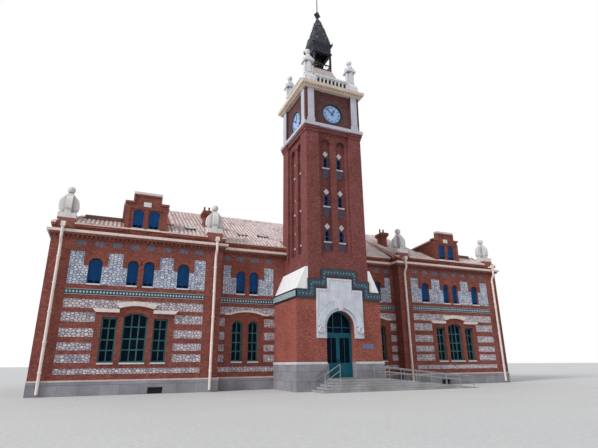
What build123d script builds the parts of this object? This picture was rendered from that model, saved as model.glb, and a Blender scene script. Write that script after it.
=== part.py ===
import os
from math import cos, radians, sin

from build123d import *

# Cultural center: brick building of two storeys with a clock tower.
# Millimetres. X runs along the street front, +Y goes into the building, Z is up.
# The origin is on the ground, at the middle of the footprint, on the tower's X axis.

# Plan
front = -5050.0            # front face of the two end pavilions
depth = 15000.0            # front face to rear face
rear = front + depth
half_length = 18900.0      # tower axis to the outer end face
pavilion_inner = 7750.0    # tower axis to the pavilion's inner corner
pavilion_axis = 13300.0    # tower axis to the middle of a pavilion
recess = front + 940.0     # front face of the two bays beside the tower
wall = 600.0
panel_back = 60.0          # stone panels stand back this far from the pilasters
pilaster = 1200.0

# Levels
plinth_top = 820.0
upper_level = 6060.0
floor_thick = 300.0
cornice_low, cornice_high = 9900.0, 10200.0
wall_top = 10450.0
eave_top = 10650.0
overhang = 150.0
cornice_out = 330.0

# Roofs
ridge_y = front + 7500.0
ridge_z = 14850.0
gable_x = 11200.0          # the high roof ends here, over each pavilion
deck_z = 11750.0           # flat top of the low pavilion roofs
roof_thick = 300.0

# Tower
tower_half = 2440.0
base_half = 3330.0
tower_front = front - 3420.0
tower_axis_y = tower_front + tower_half
tower_wall = 840.0
base_top = 6700.0
tower_plinth_top = 1850.0
shaft_top = 19670.0
string_top = 19940.0
stage_top = 23100.0
deck_top = 23600.0
tower_inner = tower_half - tower_wall
rim = 60.0                 # plinths stand out this far

# Entrance
door_half = 1100.0
door_spring, door_crown = 4170.0, 5270.0
jamb = 70.0
leaf_gap = 6.0
leaf_thick = 60.0
leaf_back = tower_front + 560.0     # inner face of the closed leaves
transom_z = 3650.0
knuckle_r, pin_r, pin_play = 12.0, 6.0, 0.06
hinge_x = door_half - jamb - leaf_gap / 2
hinge_y = leaf_back + knuckle_r
frame_back = leaf_back - 6.0       # the door frame ends clear of the knuckles
hinge_heights = (1150.0, 2250.0, 3350.0)

# Clocks
clock_z = 21200.0
clock_r = 960.0
dial_face = 2240.0         # tower axis to the face of a dial
spindle_r, spindle_play = 14.0, 0.08
clock_hour, clock_minute = 12, 52


def head_line(x, sill, width, spring, crown):
    """Outline of one window or door opening, in its wall's own plane."""
    half = width / 2
    with BuildLine(mode=Mode.PRIVATE) as outline:
        Polyline((x + half, spring), (x + half, sill), (x - half, sill), (x - half, spring))
        if crown > spring:
            ThreePointArc((x - half, spring), (x, crown), (x + half, spring))
        else:
            Line((x - half, spring), (x + half, spring))
    return outline.edges()


def cut_opening(opening):
    """Take one opening out of the sketch being drawn."""
    make_face(head_line(*opening), mode=Mode.SUBTRACT)


def wall_plane(side, face):
    """Plane of an outer wall face: its x runs along the wall, its y is up, its normal points out."""
    planes = {
        "front": Plane((0, face, 0), x_dir=(1, 0, 0), z_dir=(0, -1, 0)),
        "rear": Plane((0, face, 0), x_dir=(1, 0, 0), z_dir=(0, 1, 0)),
        "left": Plane((face, 0, 0), x_dir=(0, 1, 0), z_dir=(-1, 0, 0)),
        "right": Plane((face, 0, 0), x_dir=(0, 1, 0), z_dir=(1, 0, 0)),
    }
    plane = planes[side]
    if plane.y_dir.Z < 0:
        plane = Plane(plane.origin, x_dir=-plane.x_dir, z_dir=plane.z_dir)
    return plane


def frame_solids(side, face, opening, columns, rows, set_back, border, bar):
    """Timber frame of one window with its mullions and transoms, and the glass behind the bars."""
    x, sill, width, spring, crown = opening
    deep, glass_thick = 100.0, 20.0
    plane = wall_plane(side, face)
    if plane.x_dir.X < 0 or plane.x_dir.Y < 0:
        x = -x
    inner_w, inner_low = width - 2 * border, sill + border
    inner_spring = spring - border if crown <= spring else spring
    inner_crown = crown - border
    inner = (x, inner_low, inner_w, inner_spring, max(inner_crown, inner_spring))
    with BuildPart() as frame:
        with BuildSketch(plane.offset(-set_back)):
            make_face(head_line(x, sill, width, spring, crown))
            make_face(head_line(*inner), mode=Mode.SUBTRACT)
        extrude(amount=-deep)
        with BuildSketch(plane.offset(-set_back)):
            for column in range(1, columns):
                with Locations((x - inner_w / 2 + inner_w * column / columns, (inner_low + crown) / 2)):
                    Rectangle(bar, crown - inner_low)
            for share in rows:
                with Locations((x, inner_low + (inner_spring - inner_low) * share)):
                    Rectangle(inner_w, bar)
            make_face(head_line(*inner), mode=Mode.INTERSECT)
        extrude(amount=-deep + glass_thick + 20)
    with BuildPart() as glass:
        with BuildSketch(plane.offset(-set_back - deep + glass_thick + 20)):
            make_face(head_line(*inner))
        extrude(amount=-glass_thick)
    return frame.part, glass.part


def bar_between(start, end, radius):
    """Round bar from one point to another."""
    start, end = Vector(*start), Vector(*end)
    with BuildPart() as bar:
        with BuildSketch(Plane(start, z_dir=end - start)):
            Circle(radius)
        extrude(amount=(end - start).length)
    return bar.part


def save(builder, name):
    builder.part.label = name
    export_step(builder.part, f"parts/{name}.step")


os.makedirs("parts", exist_ok=True)

# Openings, as (centre along the wall, sill, width, springing, crown)
pavilion_upper = [(offset, 6790, width, 8200, 8490) for offset, width in
                  ((-2830, 820), (-515, 700), (515, 700), (2830, 820))]
pavilion_ground = [(-1580, 1900, 940, 4680, 4680), (0, 1900, 1530, 4720, 5030), (1580, 1900, 940, 4680, 4680)]
recess_upper = [(6060, 6780, 690, 8210, 8500), (5025, 6780, 720, 8210, 8500)]
recess_ground = [(6220, 1930, 820, 4480, 4800), (4990, 1930, 820, 4480, 4800)]
end_bays = [front + y for y in (2500, 5900, 9300, 12700)]
rear_bays = [-16650, -12950, -9250, -5550, -1850, 1850, 5550, 9250, 12950, 16650]
plain_upper = [6790, 820, 8200, 8490]
plain_ground = [1900, 940, 4680, 4680]


# Granite plinth: a ring under the outer walls, open where the tower stands
with BuildPart() as granite_plinth:
    with BuildSketch():
        with BuildLine():
            Polyline((-base_half - rim, recess - rim), (-pavilion_inner + rim, recess - rim),
                     (-pavilion_inner + rim, front - rim), (-half_length - rim, front - rim),
                     (-half_length - rim, rear + rim), (half_length + rim, rear + rim),
                     (half_length + rim, front - rim), (pavilion_inner - rim, front - rim),
                     (pavilion_inner - rim, recess - rim), (base_half + rim, recess - rim),
                     (base_half + rim, recess + wall), (pavilion_inner + wall, recess + wall),
                     (pavilion_inner + wall, front + wall), (half_length - wall, front + wall),
                     (half_length - wall, rear - wall), (-half_length + wall, rear - wall),
                     (-half_length + wall, front + wall), (-pavilion_inner - wall, front + wall),
                     (-pavilion_inner - wall, recess + wall), (-base_half - rim, recess + wall), close=True)
        make_face()
    extrude(amount=plinth_top)
    for cellar_x in (-pavilion_axis + 1565, pavilion_axis - 1565):
        with Locations((cellar_x, front - rim + 150, 200)):
            Box(930, 300, 400, mode=Mode.SUBTRACT)
save(granite_plinth, "granite_plinth")

# Tower plinth: granite under the tower's two sides, with the doorway between them
with BuildPart() as tower_plinth:
    with BuildSketch():
        for side in (-1, 1):
            with BuildLine():
                Polyline((side * door_half, tower_front - rim), (side * (base_half + rim), tower_front - rim),
                         (side * (base_half + rim), recess + wall), (side * tower_inner, recess + wall),
                         (side * tower_inner, tower_front + tower_wall),
                         (side * door_half, tower_front + tower_wall), close=True)
            make_face()
    extrude(amount=tower_plinth_top)
    for side in (-1, 1):
        with Locations((side * (base_half + rim), recess + wall / 2, (plinth_top + tower_plinth_top) / 2)):
            Box(2 * rim, wall, tower_plinth_top - plinth_top, mode=Mode.SUBTRACT)
save(tower_plinth, "tower_plinth")

# Floors
with BuildPart() as ground_floor:
    with BuildSketch(Plane.XY.offset(plinth_top - floor_thick)):
        with BuildLine():
            Polyline((-door_half, tower_front - rim), (door_half, tower_front - rim),
                     (door_half, tower_front + tower_wall), (tower_inner, tower_front + tower_wall),
                     (tower_inner, recess + wall), (pavilion_inner + wall, recess + wall),
                     (pavilion_inner + wall, front + wall), (half_length - wall, front + wall),
                     (half_length - wall, rear - wall), (-half_length + wall, rear - wall),
                     (-half_length + wall, front + wall), (-pavilion_inner - wall, front + wall),
                     (-pavilion_inner - wall, recess + wall), (-tower_inner, recess + wall),
                     (-tower_inner, tower_front + tower_wall), (-door_half, tower_front + tower_wall), close=True)
        make_face()
    extrude(amount=floor_thick)
save(ground_floor, "ground_floor")


def inside_floor(top):
    """Floor slab that fills the inside of the main walls."""
    with BuildPart() as slab:
        with BuildSketch(Plane.XY.offset(top - floor_thick)):
            with BuildLine():
                Polyline((-pavilion_inner - wall, recess + wall), (pavilion_inner + wall, recess + wall),
                         (pavilion_inner + wall, front + wall), (half_length - wall, front + wall),
                         (half_length - wall, rear - wall), (-half_length + wall, rear - wall),
                         (-half_length + wall, front + wall), (-pavilion_inner - wall, front + wall), close=True)
            make_face()
        extrude(amount=floor_thick)
    return slab


save(inside_floor(upper_level), "upper_floor")
save(inside_floor(wall_top), "attic_floor")

# Pavilion front walls: brick with corner pilasters and a corbel under the cornice
for name, sign in (("left_pavilion_wall", -1), ("right_pavilion_wall", 1)):
    inner, outer = sign * pavilion_inner, sign * half_length
    low, high = min(inner, outer), max(inner, outer)
    with BuildPart() as pavilion_wall:
        with BuildSketch(wall_plane("front", front + panel_back)):
            with Locations(((low + high) / 2, (plinth_top + wall_top) / 2)):
                Rectangle(high - low, wall_top - plinth_top)
            for opening in pavilion_upper + pavilion_ground:
                cut_opening((opening[0] + sign * pavilion_axis, *opening[1:]))
        extrude(amount=-(wall - panel_back))
        for x in (low + pilaster / 2, high - pilaster / 2):
            with Locations((x, front + wall / 2, (plinth_top + wall_top) / 2)):
                Box(pilaster, wall, wall_top - plinth_top)
        with Locations(((low + high) / 2, front + wall / 2, (9740 + wall_top) / 2)):
            Box(high - low, wall, wall_top - 9740)
        with Locations((inner + sign * wall / 2, front + (940 + wall) / 2, (plinth_top + wall_top) / 2)):
            Box(wall, 940 + wall, wall_top - plinth_top)
    save(pavilion_wall, name)

# Recess walls: the two bays beside the tower
with BuildPart() as recess_walls:
    for sign in (-1, 1):
        with BuildSketch(wall_plane("front", recess)):
            with BuildLine():
                Polyline((sign * base_half, plinth_top), (sign * pavilion_inner, plinth_top),
                         (sign * pavilion_inner, wall_top), (sign * tower_half, wall_top),
                         (sign * tower_half, base_top), (sign * base_half, base_top), close=True)
            make_face()
            for opening in recess_upper + recess_ground:
                cut_opening((sign * opening[0], *opening[1:]))
        extrude(amount=-wall)
save(recess_walls, "recess_walls")

# End walls and rear wall, with the same storeys
with BuildPart() as end_walls:
    for side, sign in (("left", -1), ("right", 1)):
        plane = wall_plane(side, sign * half_length)
        flip = 1 if plane.x_dir.Y > 0 else -1
        with BuildSketch(plane):
            with Locations((flip * (front + rear) / 2, (plinth_top + wall_top) / 2)):
                Rectangle(depth - 2 * wall, wall_top - plinth_top)
            for bay in end_bays:
                cut_opening((flip * bay, *plain_upper))
                cut_opening((flip * bay, *plain_ground))
        extrude(amount=-wall)
save(end_walls, "end_walls")

with BuildPart() as rear_wall:
    plane = wall_plane("rear", rear)
    with BuildSketch(plane):
        with Locations((0, (plinth_top + wall_top) / 2)):
            Rectangle(2 * half_length, wall_top - plinth_top)
        for bay in rear_bays:
            cut_opening((bay, *plain_upper))
            cut_opening((bay, *plain_ground))
    extrude(amount=-wall)
save(rear_wall, "rear_wall")

# Cornice: a cream band that carries the gutter, round the main walls
with BuildPart() as main_cornice:
    for low_z, high_z, out in ((cornice_low, cornice_low + 130, 200), (cornice_low + 130, cornice_high, cornice_out)):
        with BuildSketch(Plane.XY.offset(low_z)):
            with BuildLine():
                Polyline((-tower_half, recess - out), (-pavilion_inner + out, recess - out),
                         (-pavilion_inner + out, front - out), (-half_length - out, front - out),
                         (-half_length - out, rear + out), (half_length + out, rear + out),
                         (half_length + out, front - out), (pavilion_inner - out, front - out),
                         (pavilion_inner - out, recess - out), (tower_half, recess - out),
                         (tower_half, recess), (pavilion_inner, recess), (pavilion_inner, front),
                         (half_length, front), (half_length, rear), (-half_length, rear),
                         (-half_length, front), (-pavilion_inner, front), (-pavilion_inner, recess),
                         (-tower_half, recess), close=True)
            make_face()
        extrude(amount=high_z - low_z)
save(main_cornice, "main_cornice")

# Window mouldings: cream hoods over the ground windows, white sills under every window
hood_out, hood_flare = 180.0, 200.0
with BuildPart() as window_hoods:
    for sign in (-1, 1):
        axis = sign * pavilion_axis
        with BuildSketch(wall_plane("front", front + panel_back)):
            for way in (-1, 1):
                near, far = axis + way * 1055, axis + way * 2455
                with BuildLine():
                    Polyline((near, 4990), (far, 4990), (far + way * hood_flare, 5210), (near, 5210), close=True)
                make_face()
            with BuildLine():
                Polyline((axis - 1080 - hood_flare, 5570), (axis - 1080, 5290), (axis - 1000, 5290))
                ThreePointArc((axis - 1000, 5290), (axis, 5450), (axis + 1000, 5290))
                Polyline((axis + 1000, 5290), (axis + 1080, 5290), (axis + 1080 + hood_flare, 5570))
                ThreePointArc((axis + 1080 + hood_flare, 5570), (axis, 5720), (axis - 1080 - hood_flare, 5570))
            make_face()
        extrude(amount=hood_out + panel_back)
        middle = sign * 5515
        with BuildSketch(wall_plane("front", recess)):
            with BuildLine():
                Polyline((middle - 1275, 5330), (middle - 1700, 5330), (middle - 1700, 5190), (middle - 1250, 5190))
                ThreePointArc((middle - 1250, 5190), (middle, 5420), (middle + 1250, 5190))
                Polyline((middle + 1250, 5190), (middle + 1700, 5190), (middle + 1700, 5330), (middle + 1275, 5330))
                ThreePointArc((middle + 1275, 5330), (middle, 5560), (middle - 1275, 5330))
            make_face()
        extrude(amount=hood_out)
save(window_hoods, "window_hoods")

with BuildPart() as window_sills:
    for sign in (-1, 1):
        for face, axis, openings in ((front + panel_back, sign * pavilion_axis, pavilion_upper + pavilion_ground),
                                     (recess, 0, [(sign * o[0], *o[1:]) for o in recess_upper + recess_ground])):
            with BuildSketch(wall_plane("front", face)):
                for x, sill, width, spring, crown in openings:
                    with Locations((axis + x, sill - 50)):
                        Rectangle(width, 100)
            extrude(amount=panel_back + 60)
    for bay in rear_bays:
        for sill, width in ((6790, 820), (1900, 940)):
            with Locations((bay, rear + 60, sill - 50)):
                Box(width, 120, 100)
    for sign in (-1, 1):
        for bay in end_bays:
            for sill, width in ((6790, 820), (1900, 940)):
                with Locations((sign * (half_length + 60), bay, sill - 50)):
                    Box(120, width, 100)
save(window_sills, "window_sills")

# Windows: a timber frame and one sheet of glass in each opening
ground_list = []
upper_list = []
for sign in (-1, 1):
    for x, sill, width, spring, crown in pavilion_ground:
        opening = (sign * pavilion_axis + x, sill, width, spring, crown)
        ground_list.append(("front", front + panel_back, opening, 3 if x == 0 else 2, (0.25, 0.5, 0.78), 180))
    for opening in recess_ground:
        ground_list.append(("front", recess, (sign * opening[0], *opening[1:]), 2, (0.25, 0.5, 0.78), 180))
    for opening in pavilion_upper:
        upper_list.append(("front", front + panel_back, (sign * pavilion_axis + opening[0], *opening[1:]), 2,
                           (0.7,), 180))
    for opening in recess_upper:
        upper_list.append(("front", recess, (sign * opening[0], *opening[1:]), 2, (0.7,), 180))
    for bay in end_bays:
        side = "left" if sign < 0 else "right"
        ground_list.append((side, sign * half_length, (bay, *plain_ground), 2, (0.25, 0.5, 0.78), 180))
        upper_list.append((side, sign * half_length, (bay, *plain_upper), 2, (0.7,), 180))
for bay in rear_bays:
    ground_list.append(("rear", rear, (bay, *plain_ground), 2, (0.25, 0.5, 0.78), 180))
    upper_list.append(("rear", rear, (bay, *plain_upper), 2, (0.7,), 180))

# Dormer windows and the tower's slit windows belong to the upper set
dormer_half, dormer_deep, dormer_wall = 1400.0, 3400.0, 350.0
dormer_openings = [(-530, 10790, 700, 12150 - 150, 12150), (530, 10790, 700, 12150 - 150, 12150)]
for sign in (-1, 1):
    for opening in dormer_openings:
        upper_list.append(("front", front, (sign * pavilion_axis + opening[0], *opening[1:]), 2, (0.65,), 120))
slit_recess = 440.0
slits = [(x, sill, 360, sill + 750, sill + 900) for sill in (10400, 13200, 16400) for x in (-600, 600)]
tower_faces = {
    "front": (tower_axis_y - tower_half, 0.0),
    "left": (-tower_half, tower_axis_y),
    "right": (tower_half, tower_axis_y),
    "rear": (tower_axis_y + tower_half, 0.0),
}


def slit_shown(side, sill):
    """The lowest slits of the rear face would look into the roof, and are left out."""
    return side != "rear" or sill > 16000


for side, (face, middle) in tower_faces.items():
    sign = -1 if side in ("front", "left") else 1
    for opening in slits:
        if slit_shown(side, opening[1]):
            upper_list.append((side, face - sign * slit_recess, (middle + opening[0], *opening[1:]), 1, (0.5,), 60))

for storey, windows, border, bar in (("ground", ground_list, 100.0, 75.0), ("upper", upper_list, 70.0, 45.0)):
    with BuildPart() as frames:
        made = [frame_solids(*window, border, bar) for window in windows]
        for frame, glass in made:
            add(frame)
    with BuildPart() as panes:
        for frame, glass in made:
            add(glass)
    save(frames, f"{storey}_window_frames")
    save(panes, f"{storey}_window_glass")

# High tiled roof between the pavilions, with its ridge along the building
pinnacle_x = (8400.0, 18250.0)
pinnacle_base = 1100.0
pinnacle_y = front + pinnacle_base / 2


def cut_for_pinnacle(x):
    """Take the pinnacle's foot, and the eave in front of it, out of the roof being built."""
    length = pinnacle_base + overhang + 100
    with Locations((x, front + pinnacle_base - length / 2, 11500)):
        Box(pinnacle_base, length, 3000, mode=Mode.SUBTRACT)


def roof_profile(front_eave, front_inner):
    """Cross-section of the high roof: closed eaves on the wall tops and a hollow attic."""
    slope = (ridge_z - eave_top) / (ridge_y - front_eave)
    rear_eave = rear + overhang
    back_slope = (ridge_z - eave_top) / (rear_eave - ridge_y)
    inner_low = eave_top + slope * (front_inner - front_eave) - roof_thick
    back_low = eave_top + back_slope * (rear_eave - (rear - wall)) - roof_thick
    return [(front_eave, wall_top), (front_eave, eave_top), (ridge_y, ridge_z), (rear_eave, eave_top),
            (rear_eave, wall_top), (rear - wall, wall_top), (rear - wall, back_low),
            (ridge_y, ridge_z - roof_thick), (front_inner, inner_low), (front_inner, wall_top)]


side_start = pavilion_inner - overhang
with BuildPart() as main_roof:
    for low, high, eave, inner in ((-side_start, side_start, recess - overhang, recess + wall),
                                   (-gable_x, -side_start, front - overhang, front + wall),
                                   (side_start, gable_x, front - overhang, front + wall)):
        with BuildSketch(Plane.YZ.offset(low)):
            with BuildLine():
                Polyline(*roof_profile(eave, inner), close=True)
            make_face()
        extrude(amount=high - low)
    with Locations((0, tower_axis_y, 12000)):
        Box(2 * tower_half, 2 * tower_half, 6000, mode=Mode.SUBTRACT)
    for sign in (-1, 1):
        cut_for_pinnacle(sign * pinnacle_x[0])
save(main_roof, "main_roof")

# Brick gables that close the ends of the high roof above the low roofs
gable_slope = (ridge_z - eave_top) / (ridge_y - (front - overhang))
with BuildPart() as roof_gables:
    for start in (-gable_x + 20, gable_x - 320):
        with BuildSketch(Plane.YZ.offset(start)):
            with BuildLine():
                Polyline(*roof_profile(front - overhang, front + wall)[5:], close=True)
            make_face()
        extrude(amount=300)
save(roof_gables, "roof_gables")

# Low pavilion roofs: a tiled apron round a flat top, cut for the dormer and the corner pinnacle
def low_roof(offset, sign):
    """One low roof, moved in by an offset so that the same form also makes its hollow."""
    low_eave, high_eave = front - overhang, rear + overhang
    run = (deck_z - eave_top) / gable_slope
    with BuildPart() as roof:
        with BuildSketch(Plane.YZ.offset(gable_x)):
            with BuildLine():
                Polyline((low_eave + offset, wall_top), (low_eave + offset, eave_top),
                         (low_eave + offset + run, deck_z), (high_eave - offset - run, deck_z),
                         (high_eave - offset, eave_top), (high_eave - offset, wall_top), close=True)
            make_face()
        extrude(amount=half_length + overhang - gable_x - offset)
        with BuildSketch(Plane.XZ.offset(-rear - 1000)):
            with BuildLine():
                end = half_length + overhang - offset
                Polyline((gable_x, wall_top), (gable_x, deck_z), (end - run, deck_z), (end, eave_top),
                         (end, wall_top), close=True)
            make_face()
        extrude(amount=depth + 2000, mode=Mode.INTERSECT)
    return roof.part if sign > 0 else mirror(roof.part, about=Plane.YZ)


with BuildPart() as pavilion_roofs:
    for sign in (-1, 1):
        add(low_roof(0, sign))
        hollow = low_roof(overhang + wall, sign)
        add(hollow.moved(Location((0, 0, -250))), mode=Mode.SUBTRACT)
        add(hollow.moved(Location((0, 0, -500))), mode=Mode.SUBTRACT)
        with Locations((sign * pavilion_axis, front + dormer_deep / 2 - 500, 11500)):
            Box(2 * dormer_half, dormer_deep + 1000, 3000, mode=Mode.SUBTRACT)
        cut_for_pinnacle(sign * pinnacle_x[1])
save(pavilion_roofs, "pavilion_roofs")

# Dormers: brick attic fronts with two windows, cheeks and a back
dormer_shoulder, dormer_head, dormer_step = 12600.0, 13200.0, 870.0
with BuildPart() as dormers:
    for sign in (-1, 1):
        axis = sign * pavilion_axis
        with BuildSketch(wall_plane("front", front)):
            with BuildLine():
                Polyline((axis - dormer_half, wall_top), (axis - dormer_half, dormer_shoulder),
                         (axis - dormer_step, dormer_shoulder), (axis - dormer_step, dormer_head),
                         (axis + dormer_step, dormer_head), (axis + dormer_step, dormer_shoulder),
                         (axis + dormer_half, dormer_shoulder), (axis + dormer_half, wall_top), close=True)
            make_face()
            for opening in dormer_openings:
                cut_opening((axis + opening[0], *opening[1:]))
        extrude(amount=-dormer_wall)
        for cheek in (axis - dormer_half, axis + dormer_half - 300):
            with BuildSketch(Plane.YZ.offset(cheek)):
                with BuildLine():
                    Polyline((front + dormer_wall, wall_top), (front + dormer_wall, 12480),
                             (front + dormer_deep, 12280), (front + dormer_deep, wall_top), close=True)
                make_face()
            extrude(amount=300)
        with BuildSketch(Plane.XY.offset(wall_top)):
            with Locations((axis, front + dormer_deep - 150)):
                Rectangle(2 * dormer_half, 300)
        extrude(amount=12280 - wall_top)
save(dormers, "dormers")

with BuildPart() as dormer_roofs:
    for sign in (-1, 1):
        with BuildSketch(Plane.YZ.offset(sign * pavilion_axis - dormer_half - 150)):
            with BuildLine():
                Polyline((front + dormer_wall, 12480), (front + dormer_wall, 12600), (front + dormer_deep + 150, 12390),
                         (front + dormer_deep + 150, 12280), (front + dormer_deep, 12280), close=True)
            make_face()
        extrude(amount=2 * dormer_half + 300)
save(dormer_roofs, "dormer_roofs")

coping = 140.0
with BuildPart() as dormer_copings:
    for sign in (-1, 1):
        axis = sign * pavilion_axis
        with BuildSketch(wall_plane("front", front - 90)):
            with BuildLine():
                top = dormer_head + 260
                Polyline((axis - dormer_half - 90, dormer_shoulder), (axis - dormer_half - 90, dormer_shoulder + coping),
                         (axis - dormer_step - 90, dormer_shoulder + coping), (axis - dormer_step - 90, top),
                         (axis + dormer_step + 90, top), (axis + dormer_step + 90, dormer_shoulder + coping),
                         (axis + dormer_half + 90, dormer_shoulder + coping),
                         (axis + dormer_half + 90, dormer_shoulder), (axis + dormer_step, dormer_shoulder),
                         (axis + dormer_step, dormer_head), (axis - dormer_step, dormer_head),
                         (axis - dormer_step, dormer_shoulder), close=True)
            make_face()
        extrude(amount=-(dormer_wall + 90))
save(dormer_copings, "dormer_copings")

# Chimneys: brick stacks with a stepped cap and two pots, seated on the tiles
chimney_x, chimney_y = 8500.0, front + 3250.0
chimney_top = 13650.0
with BuildPart() as chimneys:
    for sign in (-1, 1):
        for size_x, size_y, low, high in ((480, 860, 11000, chimney_top - 420),
                                          (620, 1000, chimney_top - 420, chimney_top - 270),
                                          (800, 1180, chimney_top - 270, chimney_top)):
            with Locations((sign * chimney_x, chimney_y, (low + high) / 2)):
                Box(size_x, size_y, high - low)
        for pot_x in (-190, 190):
            with Locations((sign * chimney_x + pot_x, chimney_y, chimney_top + 230)):
                Cylinder(75, 460)
    with BuildSketch(Plane.YZ.offset(-9500)):
        with BuildLine():
            Polyline((front - overhang, eave_top - 3000), (front - overhang, eave_top),
                     (ridge_y, ridge_z), (ridge_y, eave_top - 3000), close=True)
        make_face()
    extrude(amount=19000, mode=Mode.SUBTRACT)
save(chimneys, "chimneys")

# Pavilion pinnacles: a square foot, four bulging consoles round a core, and a ball
console_low, console_top, console_thick, core = 11400.0, 12850.0, 400.0, 520.0


def console_edge(sign):
    """Outline of one console, from the axis out to its bulging edge and up to the neck."""
    half = pinnacle_base / 2
    shoulder = console_top - 450
    Polyline((0, console_top), (0, console_low), (sign * (half - 50), console_low),
             (sign * (half - 80), console_low + 230), (sign * (half + 40), console_low + 330))
    ThreePointArc((sign * (half + 40), console_low + 330), (sign * (half + 65), console_low + 650),
                  (sign * half, shoulder))
    Polyline((sign * half, shoulder), (sign * 130, console_top), (0, console_top))


with BuildPart() as one_pinnacle:
    with Locations((0, 0, (wall_top + console_low) / 2)):
        Box(pinnacle_base, pinnacle_base, console_low - wall_top)
    with Locations((0, 0, (console_low + console_top - 450) / 2)):
        Box(core, core, console_top - 450 - console_low)
    for turn in (0, 90):
        for sign in (-1, 1):
            with BuildSketch(Plane.XZ.rotated((0, 0, turn)).offset(-console_thick / 2)):
                with BuildLine():
                    console_edge(sign)
                make_face()
            extrude(amount=console_thick)
    with Locations((0, 0, console_top)):
        Cylinder(120, 160)
    with Locations((0, 0, console_top + 290)):
        Sphere(255)

with BuildPart() as pavilion_pinnacles:
    for x in (-pinnacle_x[1], -pinnacle_x[0], pinnacle_x[0], pinnacle_x[1]):
        add(one_pinnacle.part.moved(Location((x, pinnacle_y, 0))))
save(pavilion_pinnacles, "pavilion_pinnacles")

# Downpipes: a spout in each pinnacle's foot, a hopper, and a pipe round the cornice and down the wall
with BuildPart() as downpipes:
    pipe_r = 90.0
    for x in (-18330, -8280, 8280, 18330):
        near, far = front - 160, front - 440
        with BuildLine() as route:
            FilletPolyline((x, far, eave_top - 260), (x, far, 9650), (x, near, 9250), (x, near, 150), radius=200)
        with BuildSketch(Plane((x, far, eave_top - 260), z_dir=(0, 0, -1))):
            Circle(pipe_r)
        sweep(path=route.line)
        with Locations((x, far - 10, eave_top - 180)):
            Box(260, 240, 300)
        with Locations((x, (front + far) / 2, eave_top - 180)):
            Box(160, front - far, 120)
        for height in (1500, 4300, 7200, 9050):
            with Locations((x, (front + near) / 2, height)):
                Box(120, front - near, 60)
save(downpipes, "downpipes")

# Tower base: one wall on each side of the hall and the wall over the door
for name, sign in (("tower_base_left", -1), ("tower_base_right", 1)):
    with BuildPart() as base_wall:
        with BuildSketch(Plane.XY.offset(tower_plinth_top)):
            with BuildLine():
                Polyline((sign * door_half, tower_front), (sign * base_half, tower_front),
                         (sign * base_half, recess + wall), (sign * tower_inner, recess + wall),
                         (sign * tower_inner, tower_front + tower_wall),
                         (sign * door_half, tower_front + tower_wall), close=True)
            make_face()
        extrude(amount=base_top - tower_plinth_top)
    save(base_wall, name)

with BuildPart() as tower_base_head:
    with BuildSketch(wall_plane("front", tower_front)):
        with BuildLine():
            Polyline((-door_half, door_spring), (-door_half, base_top), (door_half, base_top), (door_half, door_spring))
            ThreePointArc((door_half, door_spring), (0, door_crown), (-door_half, door_spring))
        make_face()
    extrude(amount=-tower_wall)
save(tower_base_head, "tower_base_head")

# White sloping caps where the wide base meets the shaft
with BuildPart() as buttress_caps:
    for sign in (-1, 1):
        with BuildSketch(wall_plane("front", tower_front)):
            with BuildLine():
                Polyline((sign * tower_half, base_top), (sign * base_half, base_top), (sign * 2620, 8300),
                         (sign * tower_half, 8300), close=True)
            make_face()
        extrude(amount=-(recess - tower_front))
save(buttress_caps, "buttress_caps")

# Entrance surround: white panel with a round-headed moulding on scroll ends
panel_out = 70.0
with BuildPart() as entrance_surround:
    with BuildSketch(wall_plane("front", tower_front)):
        with BuildLine():
            Polyline((-door_half - 750, 3400), (-door_half - 750, 6780), (-1000, 6780), (-1000, 7550), (1000, 7550),
                     (1000, 6780), (door_half + 750, 6780), (door_half + 750, 3400), (door_half, 3400),
                     (door_half, door_spring))
            ThreePointArc((door_half, door_spring), (0, door_crown), (-door_half, door_spring))
            Polyline((-door_half, door_spring), (-door_half, 3400), (-door_half - 750, 3400))
        make_face()
    extrude(amount=panel_out)
    with BuildSketch(wall_plane("front", tower_front - panel_out)):
        with BuildLine():
            arch_outer = door_half + 680
            Polyline((-arch_outer, 4200), (-arch_outer, 4300))
            ThreePointArc((-arch_outer, 4300), (0, 4300 + arch_outer * 0.93), (arch_outer, 4300))
            Polyline((arch_outer, 4300), (arch_outer, 4200), (door_half + 180, 4200), (door_half + 180, 4300))
            ThreePointArc((door_half + 180, 4300), (0, door_crown + 200), (-door_half - 180, 4300))
            Polyline((-door_half - 180, 4300), (-door_half - 180, 4200), (-arch_outer, 4200))
        make_face()
    extrude(amount=110)
    for sign in (-1, 1):
        with BuildSketch(wall_plane("front", tower_front - panel_out)):
            with Locations((sign * (door_half + 420), 3980)):
                Circle(250)
        extrude(amount=150)
save(entrance_surround, "entrance_surround")

# Door frame: jambs, transom and fanlight bars fixed in the arch
with BuildPart() as door_frame:
    frame_front = leaf_back - leaf_thick - 20
    with BuildSketch(wall_plane("front", frame_front)):
        make_face(head_line(0, plinth_top, 2 * door_half, door_spring, door_crown))
        make_face(head_line(0, plinth_top, 2 * (door_half - jamb), door_spring, door_crown - jamb),
                  mode=Mode.SUBTRACT)
        with Locations((0, transom_z + 75)):
            Rectangle(2 * door_half, 150)
        with Locations((0, door_spring)):
            Rectangle(2 * door_half - jamb, 60)
        for x in (-350, 350):
            with Locations((x, (transom_z + 5100) / 2)):
                Rectangle(60, 5100 - transom_z)
    extrude(amount=frame_front - frame_back)
    for sign in (-1, 1):
        for height in hinge_heights:
            with Locations((sign * hinge_x, hinge_y, height - 26)):
                Cylinder(knuckle_r, 50)
            with Locations((sign * (hinge_x + 23), leaf_back + 3, height - 26)):
                Box(40, 28, 50)
            with Locations((sign * hinge_x, hinge_y, height + 10)):
                Cylinder(pin_r, 90)
save(door_frame, "door_frame")

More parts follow.
